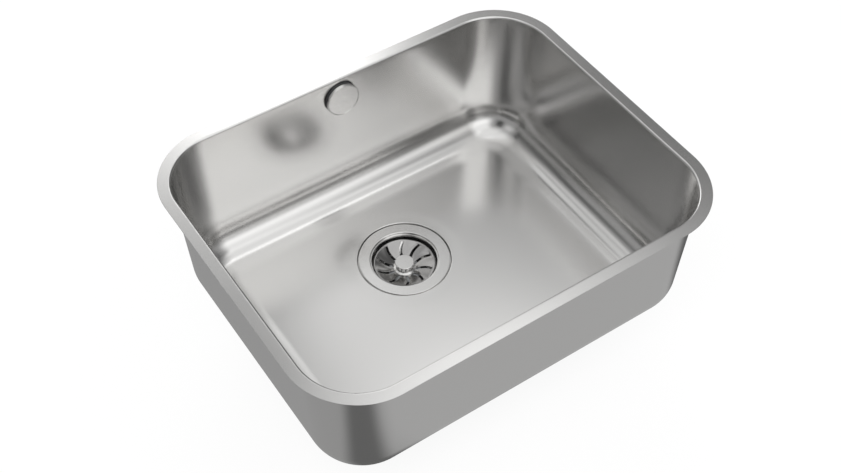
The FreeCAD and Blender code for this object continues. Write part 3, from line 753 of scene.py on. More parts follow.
    def dish(self) -> list[Point]:
        """Draw the floor's fall and the recess.

        Returns:
            Their profile from the floor to the hole for the waste.
        """
        deck = -self.depth - self.fall
        start = self.recess_radius + self.apron
        fall = []
        for step in range(self.fall_steps + 1):
            share = step / self.fall_steps
            eased = share * share * (3.0 - 2.0 * share)
            fall.append((self.dish_radius + (start - self.dish_radius) * share,
                         -self.depth - self.fall * eased))
        recess = softened([
            Corner(start, deck),
            Corner(self.recess_radius, deck, self.recess_lip, steps=5),
            Corner(self.recess_radius, deck - self.recess_depth, self.recess_foot, steps=5),
            Corner(self.waste_hole, deck - self.recess_depth)], self.fine_guard)
        return [(self.dish_radius + self.guard, -self.depth), *fall, *recess[1:]]

    def _floor(self, form: Form) -> None:
        """Fill the floor between the walls' foot and the dish round the waste.

        Args:
            form: the bowl's mesh.
        """
        rim = form.boundary(lambda place: place.z < -self.depth + MERGE)
        edges = form.chain([(DRAIN.x + radius, DRAIN.y, height) for radius, height in self.dish()])
        form.spin(edges, (DRAIN.x, DRAIN.y, 0.0), math.tau, self.round_steps)
        outer = self.dish_radius + self.guard
        mouth = form.boundary(
            lambda place: abs(math.hypot(place.x - DRAIN.x, place.y - DRAIN.y) - outer) < MERGE)
        bmesh.ops.triangle_fill(form.mesh, use_beauty=True, edges=[*rim, *mouth])
        form.close()

    def _overflow_hole(self, form: Form) -> None:
        """Open the round hole in the square of back wall that is kept for it.

        Args:
            form: the bowl's mesh.
        """
        reach = self.patch - MERGE
        square = [face for face in form.mesh.faces
                  if abs(face.calc_center_median().x) < reach
                  and face.calc_center_median().y > self.centre_y + self.opening_corner / 2.0
                  and abs(face.calc_center_median().z - OVERFLOW.z) < reach]
        bmesh.ops.delete(form.mesh, geom=square, context="FACES")
        edge = form.boundary(lambda place: place.y > self.centre_y
                             and abs(place.z - OVERFLOW.z) < self.patch + MERGE)
        ring = bmesh.ops.create_circle(form.mesh, segments=64, radius=self.overflow_hole,
                                       matrix=off_wall())["verts"]
        circle = {item for vert in ring for item in vert.link_edges}
        bmesh.ops.bridge_loops(form.mesh, edges=[*edge, *circle])
        form.close()

    def _lay_grain(self, form: Form) -> None:
        """Lay the sheet's own coordinates, along it and across it, for its polishing marks.

        Args:
            form: the bowl's mesh.
        """
        layer = form.mesh.loops.layers.uv.new("sheet")
        quarter = math.pi / 2.0
        for face in form.mesh.faces:
            middle = face.calc_center_median()
            level = middle.z < -self.depth + self.level_rise
            out_x = max(abs(middle.x) - self.centre_x, 0.0)
            out_y = max(abs(middle.y) - self.centre_y, 0.0)
            for loop in face.loops:
                place = loop.vert.co
                if level:
                    loop[layer].uv = (place.x, place.y)
                    continue
                radius = math.hypot(max(abs(place.x) - self.centre_x, 0.0),
                                    max(abs(place.y) - self.centre_y, 0.0))
                across = self.rim_corner - radius - place.z
                if out_x and out_y:
                    bend = math.atan2(abs(place.y) - self.centre_y, abs(place.x) - self.centre_x)
                    along = bend / quarter * self.opening_corner
                else:
                    along = place.x if out_y else place.y
                loop[layer].uv = (along, across)

    def build(self, finish: Steel) -> None:
        """Press the bowl.

        Args:
            finish: the steel's finish.
        """
        form = Form()
        self._walls(form)
        self._floor(form)
        self._overflow_hole(form)
        form.face_up(lambda face: face.normal.z > 0.0)
        form.thicken(self.sheet)
        self._lay_grain(form)
        form.piece("pressed_bowl", "sink", "bowl_steel", finish.material(), "bowl")


def off_wall() -> Matrix:
    """Give the place on the back wall where +Z points squarely off it, into the bowl."""
    turn = Matrix.Rotation(math.pi / 2.0 - WALL_DRAFT, 4, "X")
    return Matrix.Translation(OVERFLOW) @ turn


# ---------------------------------------------------------------- waste
@dataclass
class StrainerCup:
    """The pressed steel cup in the floor, with its flat land and slotted bottom.

    Attributes:
        land_z: height of its land.
        land_radius: outer radius of the land.
        skirt: how far the land's edge turns down.
        cup_radius: inner radius of the cup's mouth.
        ledge: width of the ledge inside the mouth.
        ledge_drop: depth of that ledge below the land.
        shoulder_z: height at which the cup starts to narrow.
        seat_z: height of the seat for the stopper's seal.
        seat_outer: outer radius of that seat.
        seat_inner: inner radius of that seat.
        floor_z: height of the cup's floor.
        bore: radius of the hole for the clamping screw.
        slot_inner: inner radius of the floor's slots.
        slot_outer: outer radius of the floor's slots.
        slots: number of slots.
        bridge: width of the bridge between two slots, as a share of their pitch.
        land_edge: rounding of the land's outer edge.
        mouth_edge: rounding from the land into the mouth.
        ledge_foot: rounding from the mouth onto the ledge.
        ledge_edge: rounding of the ledge's inner edge.
        shoulder_bend: rounding of the shoulder.
        seat_bend: rounding from the taper onto the seat.
        seat_edge: rounding of the seat's inner edge.
        floor_bend: rounding round the floor.
        sheet: thickness of the sheet.
        steps: number of steps round.
        guard: distance from a bend to the row that keeps the flat beside it flat.
    """

    land_z: float = -0.1794
    land_radius: float = 0.0563
    skirt: float = 0.0027
    cup_radius: float = 0.0422
    ledge: float = 0.0016
    ledge_drop: float = 0.0026
    shoulder_z: float = -0.1918
    seat_z: float = -0.2036
    seat_outer: float = 0.0287
    seat_inner: float = 0.0245
    floor_z: float = -0.2102
    bore: float = 0.0053
    slot_inner: float = 0.0115
    slot_outer: float = 0.0225
    slots: int = 6
    bridge: float = 0.2
    land_edge: float = 0.0006
    mouth_edge: float = 0.0010
    ledge_foot: float = 0.0003
    ledge_edge: float = 0.0005
    shoulder_bend: float = 0.003
    seat_bend: float = 0.0015
    seat_edge: float = 0.0008
    floor_bend: float = 0.0014
    sheet: float = 0.0009
    steps: int = 180
    guard: float = 0.0002

    def profile(self) -> list[Point]:
        """Draw the cup.

        Returns:
            The face of the sheet from its turned-down edge to the hole in its floor.
        """
        ledge_z = self.land_z - self.ledge_drop
        throat = self.cup_radius - self.ledge
        points = softened([
            Corner(self.land_radius, self.land_z - self.skirt),
            Corner(self.land_radius, self.land_z, self.land_edge),
            Corner(self.cup_radius, self.land_z, self.mouth_edge, steps=8),
            Corner(self.cup_radius, ledge_z, self.ledge_foot),
            Corner(throat, ledge_z, self.ledge_edge),
            Corner(throat, self.shoulder_z, self.shoulder_bend),
            Corner(self.seat_outer, self.seat_z, self.seat_bend),
            Corner(self.seat_inner, self.seat_z, self.seat_edge),
            Corner(self.seat_inner, self.floor_z, self.floor_bend),
            Corner(self.bore, self.floor_z)], self.guard)
        return with_rows(points, [self.slot_outer, self.slot_inner], 0)

    def _open_slots(self, form: Form) -> None:
        """Cut the slots out of the floor.

        Args:
            form: the cup's mesh.
        """
        pitch = math.tau / self.slots
        half_bridge = pitch * self.bridge / 2.0
        gone = []
        for face in form.mesh.faces:
            middle = face.calc_center_median()
            turn = (math.atan2(middle.y, middle.x) + pitch / 2.0) % pitch
            inside = self.slot_inner < math.hypot(middle.x, middle.y) < self.slot_outer
            on_floor = middle.z < self.floor_z + MERGE
            if inside and on_floor and half_bridge < turn < pitch - half_bridge:
                gone.append(face)
        bmesh.ops.delete(form.mesh, geom=gone, context="FACES")

    def build(self, finish: Steel) -> None:
        """Press the cup.

        Args:
            finish: the steel's finish.
        """
        form = Form()
        form.turn(self.profile(), self.steps)
        self._open_slots(form)
        form.face_up(lambda face: face.normal.z > 0.0)
        form.thicken(self.sheet)
        form.move(Matrix.Translation(DRAIN))
        form.piece("strainer_cup", "sink", "waste_steel", finish.material(), "waste_flange")


@dataclass
class Strainer:
    """The dished strainer with its ring of curved slots.

    Attributes:
        rim_z: height of its rim.
        rim_radius: outer radius of the rim.
        hem: how far the rim turns down.
        rim_width: width of the flat rim.
        flat_z: height of the flat middle.
        flat_radius: radius of the flat middle.
        bore: radius of the hole for the knob.
        slots: number of slots.
        half_slot: half the width of a slot.
        slot_outer: radius of a slot's outer end.
        slot_inner: radius of a slot's inner end.
        first: angle of the first slot's outer end.
        bow: how far round its middle lies from that angle.
        sweep: how far round its inner end lies from that angle.
        press: how far the sheet is pressed down along a slot.
        rim_edge: rounding of the rim's outer edge.
        rim_bend: rounding from the rim into the dish.
        flat_bend: rounding from the dish onto the flat middle.
        bend_steps: number of chords in each of these.
        slot_rows: number of rows of vertices between a slot's ends.
        end_rows: places of the rows round a slot's end, in half widths past the end.
        columns: places of the columns beside a slot, as shares of the way to the next sector.
        core: share of the half width from which a face counts as the slot's own.
        sheet: thickness of the sheet.
        guard: distance from a bend to the row that keeps the flat beside it flat.
    """

    rim_z: float = -0.1872
    rim_radius: float = 0.0382
    hem: float = 0.0018
    rim_width: float = 0.0017
    flat_z: float = -0.1965
    flat_radius: float = 0.014
    bore: float = 0.00655
    slots: int = 10
    half_slot: float = 0.0018
    slot_outer: float = 0.0334
    slot_inner: float = 0.0156
    first: float = math.radians(25.6)
    bow: float = math.radians(6.2)
    sweep: float = math.radians(5.0)
    press: float = 0.00025
    rim_edge: float = 0.0006
    rim_bend: float = 0.0012
    flat_bend: float = 0.002
    bend_steps: int = 4
    slot_rows: int = 8
    end_rows: tuple[float, ...] = (0.0, 0.35, 0.65, 0.87, 1.0)
    columns: tuple[float, ...] = (0.0, 0.12, 0.26, 0.45, 0.7, 1.0)
    core: float = 0.25
    sheet: float = 0.0008
    guard: float = 0.0001

    def profile(self) -> list[Point]:
        """Draw the strainer.

        Returns:
            Its upper face from the turned-down rim to the hole for the knob.
        """
        dish_radius = self.rim_radius - self.rim_width
        points = softened([
            Corner(self.rim_radius, self.rim_z - self.hem),
            Corner(self.rim_radius, self.rim_z, self.rim_edge, self.bend_steps),
            Corner(dish_radius, self.rim_z, self.rim_bend, self.bend_steps),
            Corner(self.flat_radius, self.flat_z, self.flat_bend, self.bend_steps),
            Corner(self.bore, self.flat_z)], self.guard)
        length = self.slot_outer - self.slot_inner
        rows = [self.slot_inner + length * step / (self.slot_rows + 1)
                for step in range(1, self.slot_rows + 1)]
        for share in self.end_rows:
            past = self.half_slot * share
            rows += [self.slot_outer + past, self.slot_inner - past]
        return with_rows(points, rows, 0)

    def slot_circle(self) -> tuple[Vector, float]:
        """Find the circle that a slot's centre line follows.

        Returns:
            Its centre and its radius.
        """
        middle = (self.slot_outer + self.slot_inner) / 2.0
        turns = ((self.slot_outer, 0.0), (middle, self.bow), (self.slot_inner, self.sweep))
        start, via, end = (
            Vector((math.cos(self.first + turn), math.sin(self.first + turn))) * radius
            for radius, turn in turns)
        first, second = via - start, end - start
        across = 2.0 * first.cross(second)
        to_centre = Vector((second.y * first.length_squared - first.y * second.length_squared,
                            first.x * second.length_squared - second.x * first.length_squared))
        to_centre /= across
        return start + to_centre, to_centre.length

    def slot_angle(self, radius: float) -> float:
        """Find a slot's centre line.

        Args:
            radius: distance from the axis.

        Returns:
            The angle of the centre line there.
        """
        centre, reach = self.slot_circle()
        radius = max(self.slot_inner, min(self.slot_outer, radius))
        away = centre.length
        opening = math.acos((radius ** 2 + away ** 2 - reach ** 2) / (2.0 * radius * away))
        return math.atan2(centre.y, centre.x) + opening

    def slot_reach(self, radius: float) -> float:
        """Give half the width of the slot at a radius, zero past its round ends."""
        past = max(radius - self.slot_outer, self.slot_inner - radius, 0.0)
        return math.sqrt(max(self.half_slot ** 2 - past ** 2, 0.0))

    def _sector(self, form: Form) -> None:
        """Lay the sheet round one slot, with its columns along the slot's two edges.

        Args:
            form: the strainer's mesh.
        """
        rows = self.profile()
        columns = [-share for share in reversed(self.columns)] + list(self.columns)
        grid = bmesh.ops.create_grid(form.mesh, x_segments=len(columns) - 1,
                                     y_segments=len(rows) - 1, size=1.0)
        half_pitch = math.pi / self.slots
        for vert in grid["verts"]:
            column = round((vert.co.x + 1.0) / 2.0 * (len(columns) - 1))
            radius, height = rows[round((vert.co.y + 1.0) / 2.0 * (len(rows) - 1))]
            reach = math.asin(self.slot_reach(radius) / radius)
            side = -1.0 if column < len(self.columns) else 1.0
            share = abs(columns[column])
            angle = self.slot_angle(radius) + side * (reach + (half_pitch - reach) * share)
            apart = (half_pitch - reach) * share * radius / self.half_slot
            dip = self.press * math.exp(-apart * apart) * self.slot_reach(radius) / self.half_slot
            vert.co = (radius * math.cos(angle), radius * math.sin(angle), height - dip)

    def _open_slot(self, form: Form) -> None:
        """Cut the slot out of its sector.

        Args:
            form: the strainer's mesh.
        """
        gone = []
        for face in form.mesh.faces:
            middle = face.calc_center_median()
            radius = math.hypot(middle.x, middle.y)
            turn = math.atan2(middle.y, middle.x) - self.slot_angle(radius)
            if self.slot_reach(radius) and abs(turn) * radius < self.half_slot * self.core:
                gone.append(face)
        bmesh.ops.delete(form.mesh, geom=gone, context="FACES")

    def build(self, finish: Steel) -> None:
        """Press the strainer.

        Args:
            finish: the steel's finish.
        """
        form = Form()
        self._sector(form)
        self._open_slot(form)
        sector = form.mesh.verts[:] + form.mesh.edges[:] + form.mesh.faces[:]
        bmesh.ops.spin(form.mesh, geom=sector, cent=(0, 0, 0), axis=(0, 0, 1),
                       angle=math.tau * (1.0 - 1.0 / self.slots), steps=self.slots - 1,
                       use_duplicate=True)
        form.close()
        form.face_up(lambda face: face.normal.z > 0.0)
        form.thicken(self.sheet)
        form.move(Matrix.Translation(DRAIN))
        form.piece("curved_slot_strainer", "basket", "basket_steel", finish.material(),
                   "strainer_basket")


@dataclass
class LiftingKnob:
    """The turned knob in the middle of the strainer.

    Attributes:
        top_z: height of its top.
        radius: radius of its head.
        head: height of its head.
        neck: height of the slope under the head.
        waist: radius of its waist.
        foot_radius: radius of its foot.
        foot_z: height of its foot.
        foot_edge: height of the foot's edge.
        flare: height of the flare above the foot.
        tube_radius: radius of the tube under the strainer.
        tube_end: height of the tube's end.
        bore: radius of the hole for the stem.
        chamber: radius of the chamber for the stem's head.
        chamber_low: height of the chamber's floor.
        chamber_high: height of the chamber's roof.
        head_edge: rounding of the head's upper edge.
        under_edge: rounding of the head's lower edge and of the tube's end.
        waist_top: rounding at the top of the waist.
        waist_foot: rounding at the foot of the waist.
        fine_edge: rounding of the foot's edge and of the hole for the stem.
        guard: distance from a bend to the row that keeps the flat beside it flat.
    """

    top_z: float = -0.1857
    radius: float = 0.0117
    head: float = 0.0026
    neck: float = 0.001
    waist: float = 0.0106
    foot_radius: float = 0.0134
    foot_z: float = -0.1965
    foot_edge: float = 0.0007
    flare: float = 0.0012
    tube_radius: float = 0.0065
    tube_end: float = -0.2002
    bore: float = 0.00405
    chamber: float = 0.0057
    chamber_low: float = -0.1916
    chamber_high: float = -0.1884
    head_edge: float = 0.0007
    under_edge: float = 0.0004
    waist_top: float = 0.0008
    waist_foot: float = 0.0006
    fine_edge: float = 0.0003
    guard: float = 0.0001

    def build(self, finish: Steel) -> None:
        """Turn the knob.

        Args:
            finish: the steel's finish.
        """
        under = self.top_z - self.head
        foot_top = self.foot_z + self.foot_edge
        outline = softened([
            Corner(0.0, self.top_z),
            Corner(self.radius, self.top_z, self.head_edge),
            Corner(self.radius, under, self.under_edge),
            Corner(self.waist, under - self.neck, self.waist_top),
            Corner(self.waist, foot_top + self.flare, self.waist_foot, steps=4),
            Corner(self.foot_radius, foot_top, self.fine_edge),
            Corner(self.foot_radius, self.foot_z),
            Corner(self.tube_radius, self.foot_z),
            Corner(self.tube_radius, self.tube_end, self.under_edge),
            Corner(self.bore, self.tube_end, self.fine_edge),
            Corner(self.bore, self.chamber_low),
            Corner(self.chamber, self.chamber_low),
            Corner(self.chamber, self.chamber_high),
            Corner(0.0, self.chamber_high)], self.guard)
        form = Form()
        form.turn(outline, steps=96)
        form.move(Matrix.Translation(DRAIN))
        form.piece("lifting_knob", "basket", "knob_steel", finish.material(), "basket_knob")


@dataclass
class WasteBody:
    """The moulded waste body under the bowl, with the pipe thread of its outlet cut in.

    Attributes:
        crest: outer radius of the thread.
        cut: depth of the thread.
        pitch: distance from thread to thread.
        low: height of the outlet's end.
        high: height at which the thread runs out.
        rows: number of rows of vertices to a thread.
        face_depth: a vertex less than this inside the crest is on the outer face.
    """

    crest: float = 0.0239
    cut: float = 0.0012
    pitch: float = 0.002309
    low: float = -0.2546
    high: float = -0.2362
    rows: int = 10
    face_depth: float = 0.0004

    def _radius(self, angle: float, height: float) -> float:
        """Find the threaded face.

        Args:
            angle: angle round the outlet.
            height: height on it.

        Returns:
            The radius of the face there.
        """
        turns = height / self.pitch - angle / math.tau
        valley = 0.5 - 0.5 * math.cos(math.tau * turns)
        run_in = min((height - self.low) / self.pitch, 1.0)
        run_out = min((self.high - height) / self.pitch, 1.0)
        valley = 1.0 - (1.0 - valley) * run_in
        return self.crest - self.cut * valley * run_out

    def build(self, finish: Moulded) -> None:
        """Cut the thread into the solid's outlet.

        Args:
            finish: the plastic's finish.
        """
        form = Form()
        form.mesh.from_mesh(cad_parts["waste_body"].data)
        form.close()
        steps = int((self.high - self.low) / self.pitch * self.rows)
        for step in range(1, steps):
            form.slice(self.low + self.pitch * step / self.rows, self.high)
        for vert in form.mesh.verts:
            out = Vector((vert.co.x - DRAIN.x, vert.co.y - DRAIN.y, 0.0))
            if out.length > self.crest - self.face_depth and vert.co.z < self.high:
                radius = self._radius(math.atan2(out.y, out.x), vert.co.z)
                vert.co.xy = (DRAIN + out.normalized() * radius).xy
        form.piece("threaded_waste_body", "sink", "waste_plastic", finish.material(), "waste_body")


# ---------------------------------------------------------------- overflow
@dataclass
class OverflowCap:
    """The round cap over the overflow, with the socket that grips its hub.

    Attributes:
        radius: radius of the cap.
        stand: how far its face stands off the wall.
        sheet: thickness of its face.
        skirt: depth of its edge.
        edge: rounding between face and edge.
        rim_line: distance from the edge to the fine line pressed round the face.
        line_depth: depth of that line.
        line_edge: rounding of that line's two edges.
        socket_inner: inner radius of its socket.
        socket_outer: outer radius of its socket.
        socket_length: length of its socket.
        hem: rounding of the rims of its edge and of its socket.
        inner_bend: rounding behind its face, inside the edge.
        socket_bend: rounding from there onto the socket.
        guard: distance from a bend to the row that keeps the flat beside it flat.
    """

    radius: float = 0.022
    stand: float = 0.0057
    sheet: float = 0.001
    skirt: float = 0.0026
    edge: float = 0.0007
    rim_line: float = 0.0014
    line_depth: float = 0.00035
    line_edge: float = 0.0001
    socket_inner: float = 0.00655
    socket_outer: float = 0.00795
    socket_length: float = 0.0032
    hem: float = 0.0003
    inner_bend: float = 0.0006
    socket_bend: float = 0.0004
    guard: float = 0.0001

    def build(self, finish: Steel) -> None:
        """Press the cap.

        Args:
            finish: the steel's finish.
        """
        back = self.stand - self.sheet
        edge = self.stand - self.skirt
        inside = self.radius - self.sheet
        line = self.radius - self.rim_line
        socket_end = back - self.socket_length
        outline = softened([
            Corner(0.0, self.stand),
            Corner(line - self.line_depth, self.stand, self.line_edge, steps=2),
            Corner(line, self.stand - self.line_depth),
            Corner(line + self.line_depth, self.stand, self.line_edge, steps=2),
            Corner(self.radius, self.stand, self.edge, steps=8),
            Corner(self.radius, edge, self.hem, steps=4),
            Corner(inside, edge, self.hem, steps=4),
            Corner(inside, back, self.inner_bend, steps=5),
            Corner(self.socket_outer, back, self.socket_bend, steps=4),
            Corner(self.socket_outer, socket_end, self.hem, steps=4),
            Corner(self.socket_inner, socket_end, self.hem, steps=4),
            Corner(self.socket_inner, back),
            Corner(0.0, back)], self.guard)
        form = Form()
        form.turn(outline, steps=128)
        form.move(off_wall())
        form.piece("overflow_cover_cap", "overflow_cover", "cap_steel", finish.material(),
                   "overflow_cap")


# ---------------------------------------------------------------- pieces kept as they are
@dataclass
class PlainPieces:
    """The pieces whose solids already have the right shape and only need their finish."""

    def finishes(self) -> dict[str, Steel | Moulded | Rubber]:
        """Choose the finish of each node that is kept.

        Returns:
            The finishes by the node's name.
        """
        seal = Rubber("black_seal_rubber", (0.035, 0.035, 0.036))
        nut = Moulded("pipe_nut_plastic", (0.80, 0.80, 0.79), 0.38)
        washer = Moulded("washer_polyethylene", (0.66, 0.65, 0.60), 0.5)
        screw = Steel("plain_screw_steel", PLAIN_STEEL, 0.30, Grain.ROUND_WASTE)
        return {
            "sound_pad": Rubber("damping_sheet", (0.17, 0.17, 0.175), 500.0, 0.00012, 0.85),
            "flange_gasket": seal,
            "body_gasket": seal,
            "basket_seal": seal,
            "stem_o_ring": seal,
            "overflow_gasket": Rubber("sponge_gasket", (0.06, 0.06, 0.06), 1400.0, 0.00012, 0.9),
            "overflow_elbow": Moulded("overflow_elbow_plastic", PALE_PLASTIC),
            "overflow_pipe": Moulded("overflow_pipe_plastic", (0.62, 0.62, 0.61), 0.36),
            "upper_pipe_nut": nut,
            "lower_pipe_nut": nut,
            "upper_pipe_washer": washer,
            "lower_pipe_washer": washer,
            "basket_stem": Moulded("stem_acetal", (0.42, 0.43, 0.44), 0.34),
            "overflow_collar": Moulded("collar_plastic", (0.045, 0.045, 0.048), 0.4),
            "screw_insert": Steel("insert_brass", (0.80, 0.62, 0.33), 0.28, Grain.ROUND_WASTE),
            "clamp_screw": screw,
            "knob_nut": screw,
            "overflow_screw": Steel("plain_fixing_steel", PLAIN_STEEL, 0.30,
                                    Grain.ROUND_OVERFLOW),
        }

    def build(self) -> None:
        """Give each kept node its finish."""
        made: dict[str, bpy.types.Material] = {}
        for node, finish in self.finishes().items():
            if finish.name not in made:
                made[finish.name] = finish.material()
            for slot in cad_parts[node].material_slots:
                slot.material = made[finish.name]
            log.info("%s: %s", node, finish.name)


# ---------------------------------------------------------------- studio
@dataclass(frozen=True)
class Panel:
    """A soft patch of the tent, placed by where it is seen from the middle of the rim.

    Attributes:
        azimuth: degrees round from +X.
        elevation: degrees above the rim.
        width: width in degrees.
        height: height in degrees.
        edge: width of its soft edge in degrees.
        tone: how much brightness it adds, less than zero where it is a dark flag.
    """

    azimuth: float
    elevation: float
    width: float
    height: float
    edge: float
    tone: float

    def _share(self, recipe: Recipe, off: Wire, size: float) -> Wire:
        """Fade from one inside the panel to zero outside it, along one direction."""
        half, soft = math.radians(size) / 2.0, math.radians(self.edge) / 2.0
        return recipe.node("ShaderNodeMapRange", {"interpolation_type": "SMOOTHSTEP"},
                           {"Value": off, "From Min": half + soft, "From Max": half - soft})

    def glow(self, recipe: Recipe, azimuth: Wire, elevation: Wire) -> Wire:
        """Light the tent by this panel.

        Args:
            recipe: the cloth's recipe.
            azimuth: azimuth on the cloth, in radians.
            elevation: elevation on the cloth, in radians.

        Returns:
            The brightness that the panel adds.
        """
        turned = recipe.node("ShaderNodeMath", {"operation": "WRAP"}, {
            0: azimuth - math.radians(self.azimuth), 1: math.pi, 2: -math.pi})
        aside = recipe.node("ShaderNodeMath", {"operation": "ABSOLUTE"}, {0: turned})
        above = recipe.node("ShaderNodeMath", {"operation": "ABSOLUTE"}, {
            0: elevation - math.radians(self.elevation)})
        return (self._share(recipe, aside, self.width)
                * self._share(recipe, above, self.height) * self.tone)


@dataclass
class Tent:
    """A grey light tent that only polished surfaces see, with soft panels and dark flags.

    Attributes:
        radius: its radius.
        tone: brightness of its cloth.
    """

    radius: float = 5.0
    tone: float = 0.34

    def panels(self) -> dict[str, Panel]:
        """Give the panels and the flags by name."""
        return {
            "back softbox": Panel(67, 36.5, 16, 19, 8, 1.3),
            "back wall wash": Panel(84, 40, 44, 34, 12, 0.7),
            "high softbox": Panel(40, 64, 36, 22, 20, 1.1),
            "roof": Panel(0, 86, 358, 44, 24, 0.6),
            "front softbox": Panel(-86, 46, 64, 36, 18, 0.68),
            "front high": Panel(-44, 64, 40, 10, 8, 0.4),
            "front fill": Panel(-95, 34, 64, 20, 14, 0.3),
            "right flag": Panel(4, 26, 80, 52, 14, -0.2),
            "left flag": Panel(122, 37, 50, 10, 7, -0.3),
            "left card": Panel(127, 53, 18, 8, 6, 0.5),
            "left softbox": Panel(178, 46, 26, 18, 10, 0.3),
            "camera flag": Panel(-150, 44, 20, 24, 8, -0.33),
            "seam": Panel(75, 52, 12, 18, 6, -0.8),
            "overhead card": Panel(59, 53, 5, 3, 5, 0.25),
            "front mat": Panel(-75, -35, 90, 40, 12, 0.1),
            "corner mat": Panel(-135, -35, 20, 40, 10, -0.2),
            "right mat": Panel(-5, -35, 50, 40, 14, -0.22),
        }

    def _material(self) -> bpy.types.Material:
        """Make the cloth.

        Returns:
            Its material.
        """
        made, recipe = new_material("tent_cloth")
        place = recipe.node("ShaderNodeTexCoord", output="Object")
        heading = recipe.node("ShaderNodeVectorMath", {"operation": "NORMALIZE"}, {0: place})
        x, y, z = (recipe.node("ShaderNodeSeparateXYZ", inputs={0: heading}, output=axis)
                   for axis in "XYZ")
        azimuth = recipe.node("ShaderNodeMath", {"operation": "ARCTAN2"}, {0: y, 1: x})
        elevation = recipe.node("ShaderNodeMath", {"operation": "ARCSINE"}, {0: z})
        glow: Wire | float = self.tone
        for panel in self.panels().values():
            glow = glow + panel.glow(recipe, azimuth, elevation)
        bright = recipe.node("ShaderNodeMath", {"operation": "MAXIMUM"}, {0: glow, 1: 0.0})
        recipe.surface(recipe.node("ShaderNodeEmission", inputs={
            "Color": WHITE, "Strength": bright}))
        return made

    def build(self, level: float) -> None:
        """Pitch the tent.

        Args:
            level: height of its groundsheet.
        """
        cloth = bmesh.new()
        bmesh.ops.create_uvsphere(cloth, u_segments=48, v_segments=24, radius=self.radius)
        bmesh.ops.bisect_plane(cloth, geom=cloth.verts[:] + cloth.edges[:] + cloth.faces[:],
                               plane_co=(0.0, 0.0, level), plane_no=(0.0, 0.0, -1.0),
                               clear_outer=True)
        hem = [edge for edge in cloth.edges if edge.is_boundary]
        bmesh.ops.triangle_fill(cloth, use_beauty=True, edges=hem)
        tent = stand("light_tent", cloth, self._material())
        tent.visible_camera = False
        tent.visible_diffuse = False
        tent.visible_transmission = False
        tent.visible_shadow = False
        tent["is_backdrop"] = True


@dataclass
class Studio:
    """Pale floor, white surround, soft lamps, light tent and the camera.

    Attributes:
        floor_half: half the side of the floor.
        floor_tone: colour of the floor.
        floor_white: how much of the floor looks white where it is seen.
        floor_gap: distance from the sink's lowest point down to the floor.
        sheet_gap: distance from the floor up to the tent's groundsheet.
        soft_light: brightness of the surround on plain surfaces.
        lamp_size: side of a lamp's panel.
    """

    floor_half: float = 4.0
    floor_tone: float = 0.86
    floor_white: float = 0.9
    floor_gap: float = 0.0005
    sheet_gap: float = 0.0002
    soft_light: float = 0.55
    lamp_size: float = 1.6

    def _seen_white(self, recipe: Recipe) -> Wire:
        """Tell the rays that see the surround itself from those that light the set.

        Args:
            recipe: the recipe that asks.

        Returns:
            One for the rays that see it, zero for the others.
        """
        path = "ShaderNodeLightPath"
        direct = recipe.node(path, output="Is Camera Ray")
        mirrored = recipe.node(path, output="Is Glossy Ray")
        passed = recipe.node(path, output="Is Transmission Ray")
        return direct + mirrored + passed

    def surround(self) -> None:
        """Make the world white where it is seen and soft where it lights."""
        world = bpy.data.worlds.new("white_surround")
        world.use_nodes = True
        recipe = Recipe(world.node_tree)
        seen = self._seen_white(recipe)
        strength = seen * (1.0 - self.soft_light) + self.soft_light
        shader = recipe.node("ShaderNodeBackground", inputs={"Color": WHITE, "Strength": strength})
        recipe.surface(shader, "ShaderNodeOutputWorld")
        bpy.context.scene.world = world

    def floor(self, level: float) -> None:
        """Lay the floor.

        Args:
            level: height of the floor.
        """
        form = bmesh.new()
        bmesh.ops.create_grid(form, x_segments=1, y_segments=1, size=self.floor_half,
                              matrix=Matrix.Translation((0.0, 0.0, level)))
        material, recipe = new_material("pale_floor")
        plain = recipe.node("ShaderNodeBsdfDiffuse", inputs={
            "Color": (self.floor_tone, self.floor_tone, self.floor_tone, 1.0)})
        white = recipe.node("ShaderNodeEmission", inputs={"Color": WHITE})
        share = self._seen_white(recipe) * self.floor_white
        recipe.surface(recipe.node("ShaderNodeMixShader", inputs={0: share, 1: plain, 2: white}))
        made = stand("studio_floor", form, material)
        made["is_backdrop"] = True

    def lamp(self, name: str, place: Sequence[float], power: float) -> None:
        """Hang one soft lamp that faces the sink.

        Args:
            name: its name.
            place: where it hangs.
            power: its power in watts.
        """
        light = bpy.data.lights.new(name, "AREA")
        light.shape = "SQUARE"
        light.size = self.lamp_size
        light.energy = power
        made = bpy.data.objects.new(name, light)
        made.location = place
        made.rotation_mode = "QUATERNION"
        made.rotation_quaternion = Vector(place).to_track_quat("Z", "Y")
        made.visible_glossy = False
        bpy.context.scene.collection.objects.link(made)

    def camera(self) -> None:
        """Set the camera at the photograph's viewing angle."""
        data = bpy.data.cameras.new("view")
        data.sensor_width = SENSOR_WIDTH
        data.lens = CAMERA_LENS
        made = bpy.data.objects.new("view", data)
        made.matrix_world = CAMERA_PLACE
        bpy.context.scene.collection.objects.link(made)
        bpy.context.scene.camera = made

    def build(self, lowest: float) -> None:
        """Build the studio.

        Args:
            lowest: height of the sink's lowest point.
        """
        bpy.context.scene.view_settings.view_transform = "Standard"
        level = lowest - self.floor_gap
        self.surround()
        self.floor(level)
        self.lamp("key_lamp", (-1.2, -1.0, 2.4), power=55.0)
        self.lamp("fill_lamp", (1.6, -1.4, 1.6), power=20.0)
        self.lamp("back_lamp", (0.7, 2.0, 1.3), power=28.0)
        Tent().build(level + self.sheet_gap)
        self.camera()


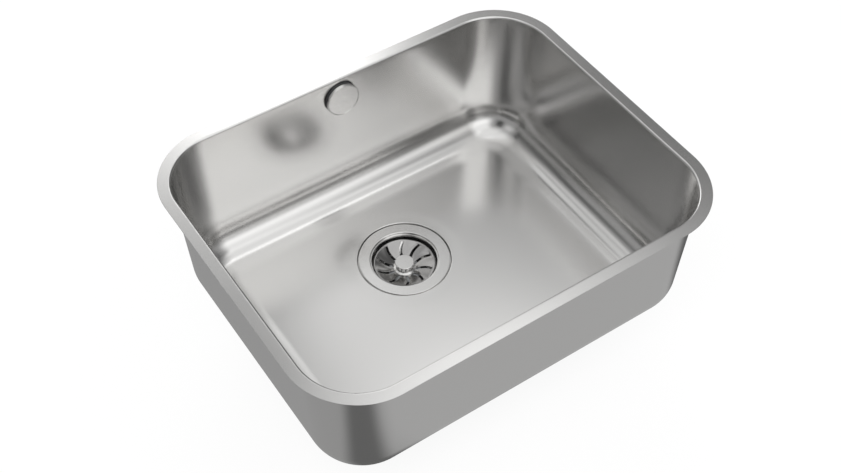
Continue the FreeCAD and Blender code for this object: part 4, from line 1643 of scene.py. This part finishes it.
def main() -> None:
    """Build the sink's looks, piece by piece, and the studio round it."""
    logging.basicConfig(level=logging.INFO, format="%(name)s %(message)s")
    cad_low, cad_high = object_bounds()
    Bowl().build(Steel("satin_bowl_steel", SATIN_STEEL, 0.20, Grain.ALONG_SHEET))
    StrainerCup().build(Steel("pressed_cup_steel", BRIGHT_STEEL, 0.17, Grain.ROUND_WASTE))
    # The strainer's steel colour of 0.46 is painted shade: it is darkened to stand for the shade
    # down in the waste recess. Through its reflection it also darkens the knob's side. The metal
    # itself is the same stainless as the bowl.
    Strainer().build(Steel("strainer_steel_painted_shade", (0.46, 0.455, 0.45), 0.13, Grain.ROUND_WASTE))
    LiftingKnob().build(Steel("turned_knob_steel", BRIGHT_STEEL, 0.16, Grain.ROUND_WASTE))
    OverflowCap().build(Steel("cap_steel", SATIN_STEEL, 0.20, Grain.ROUND_OVERFLOW))
    WasteBody().build(Moulded("waste_body_plastic", PALE_PLASTIC))
    PlainPieces().build()
    Studio().build(cad_low.z)


if __name__ == "__main__":
    main()
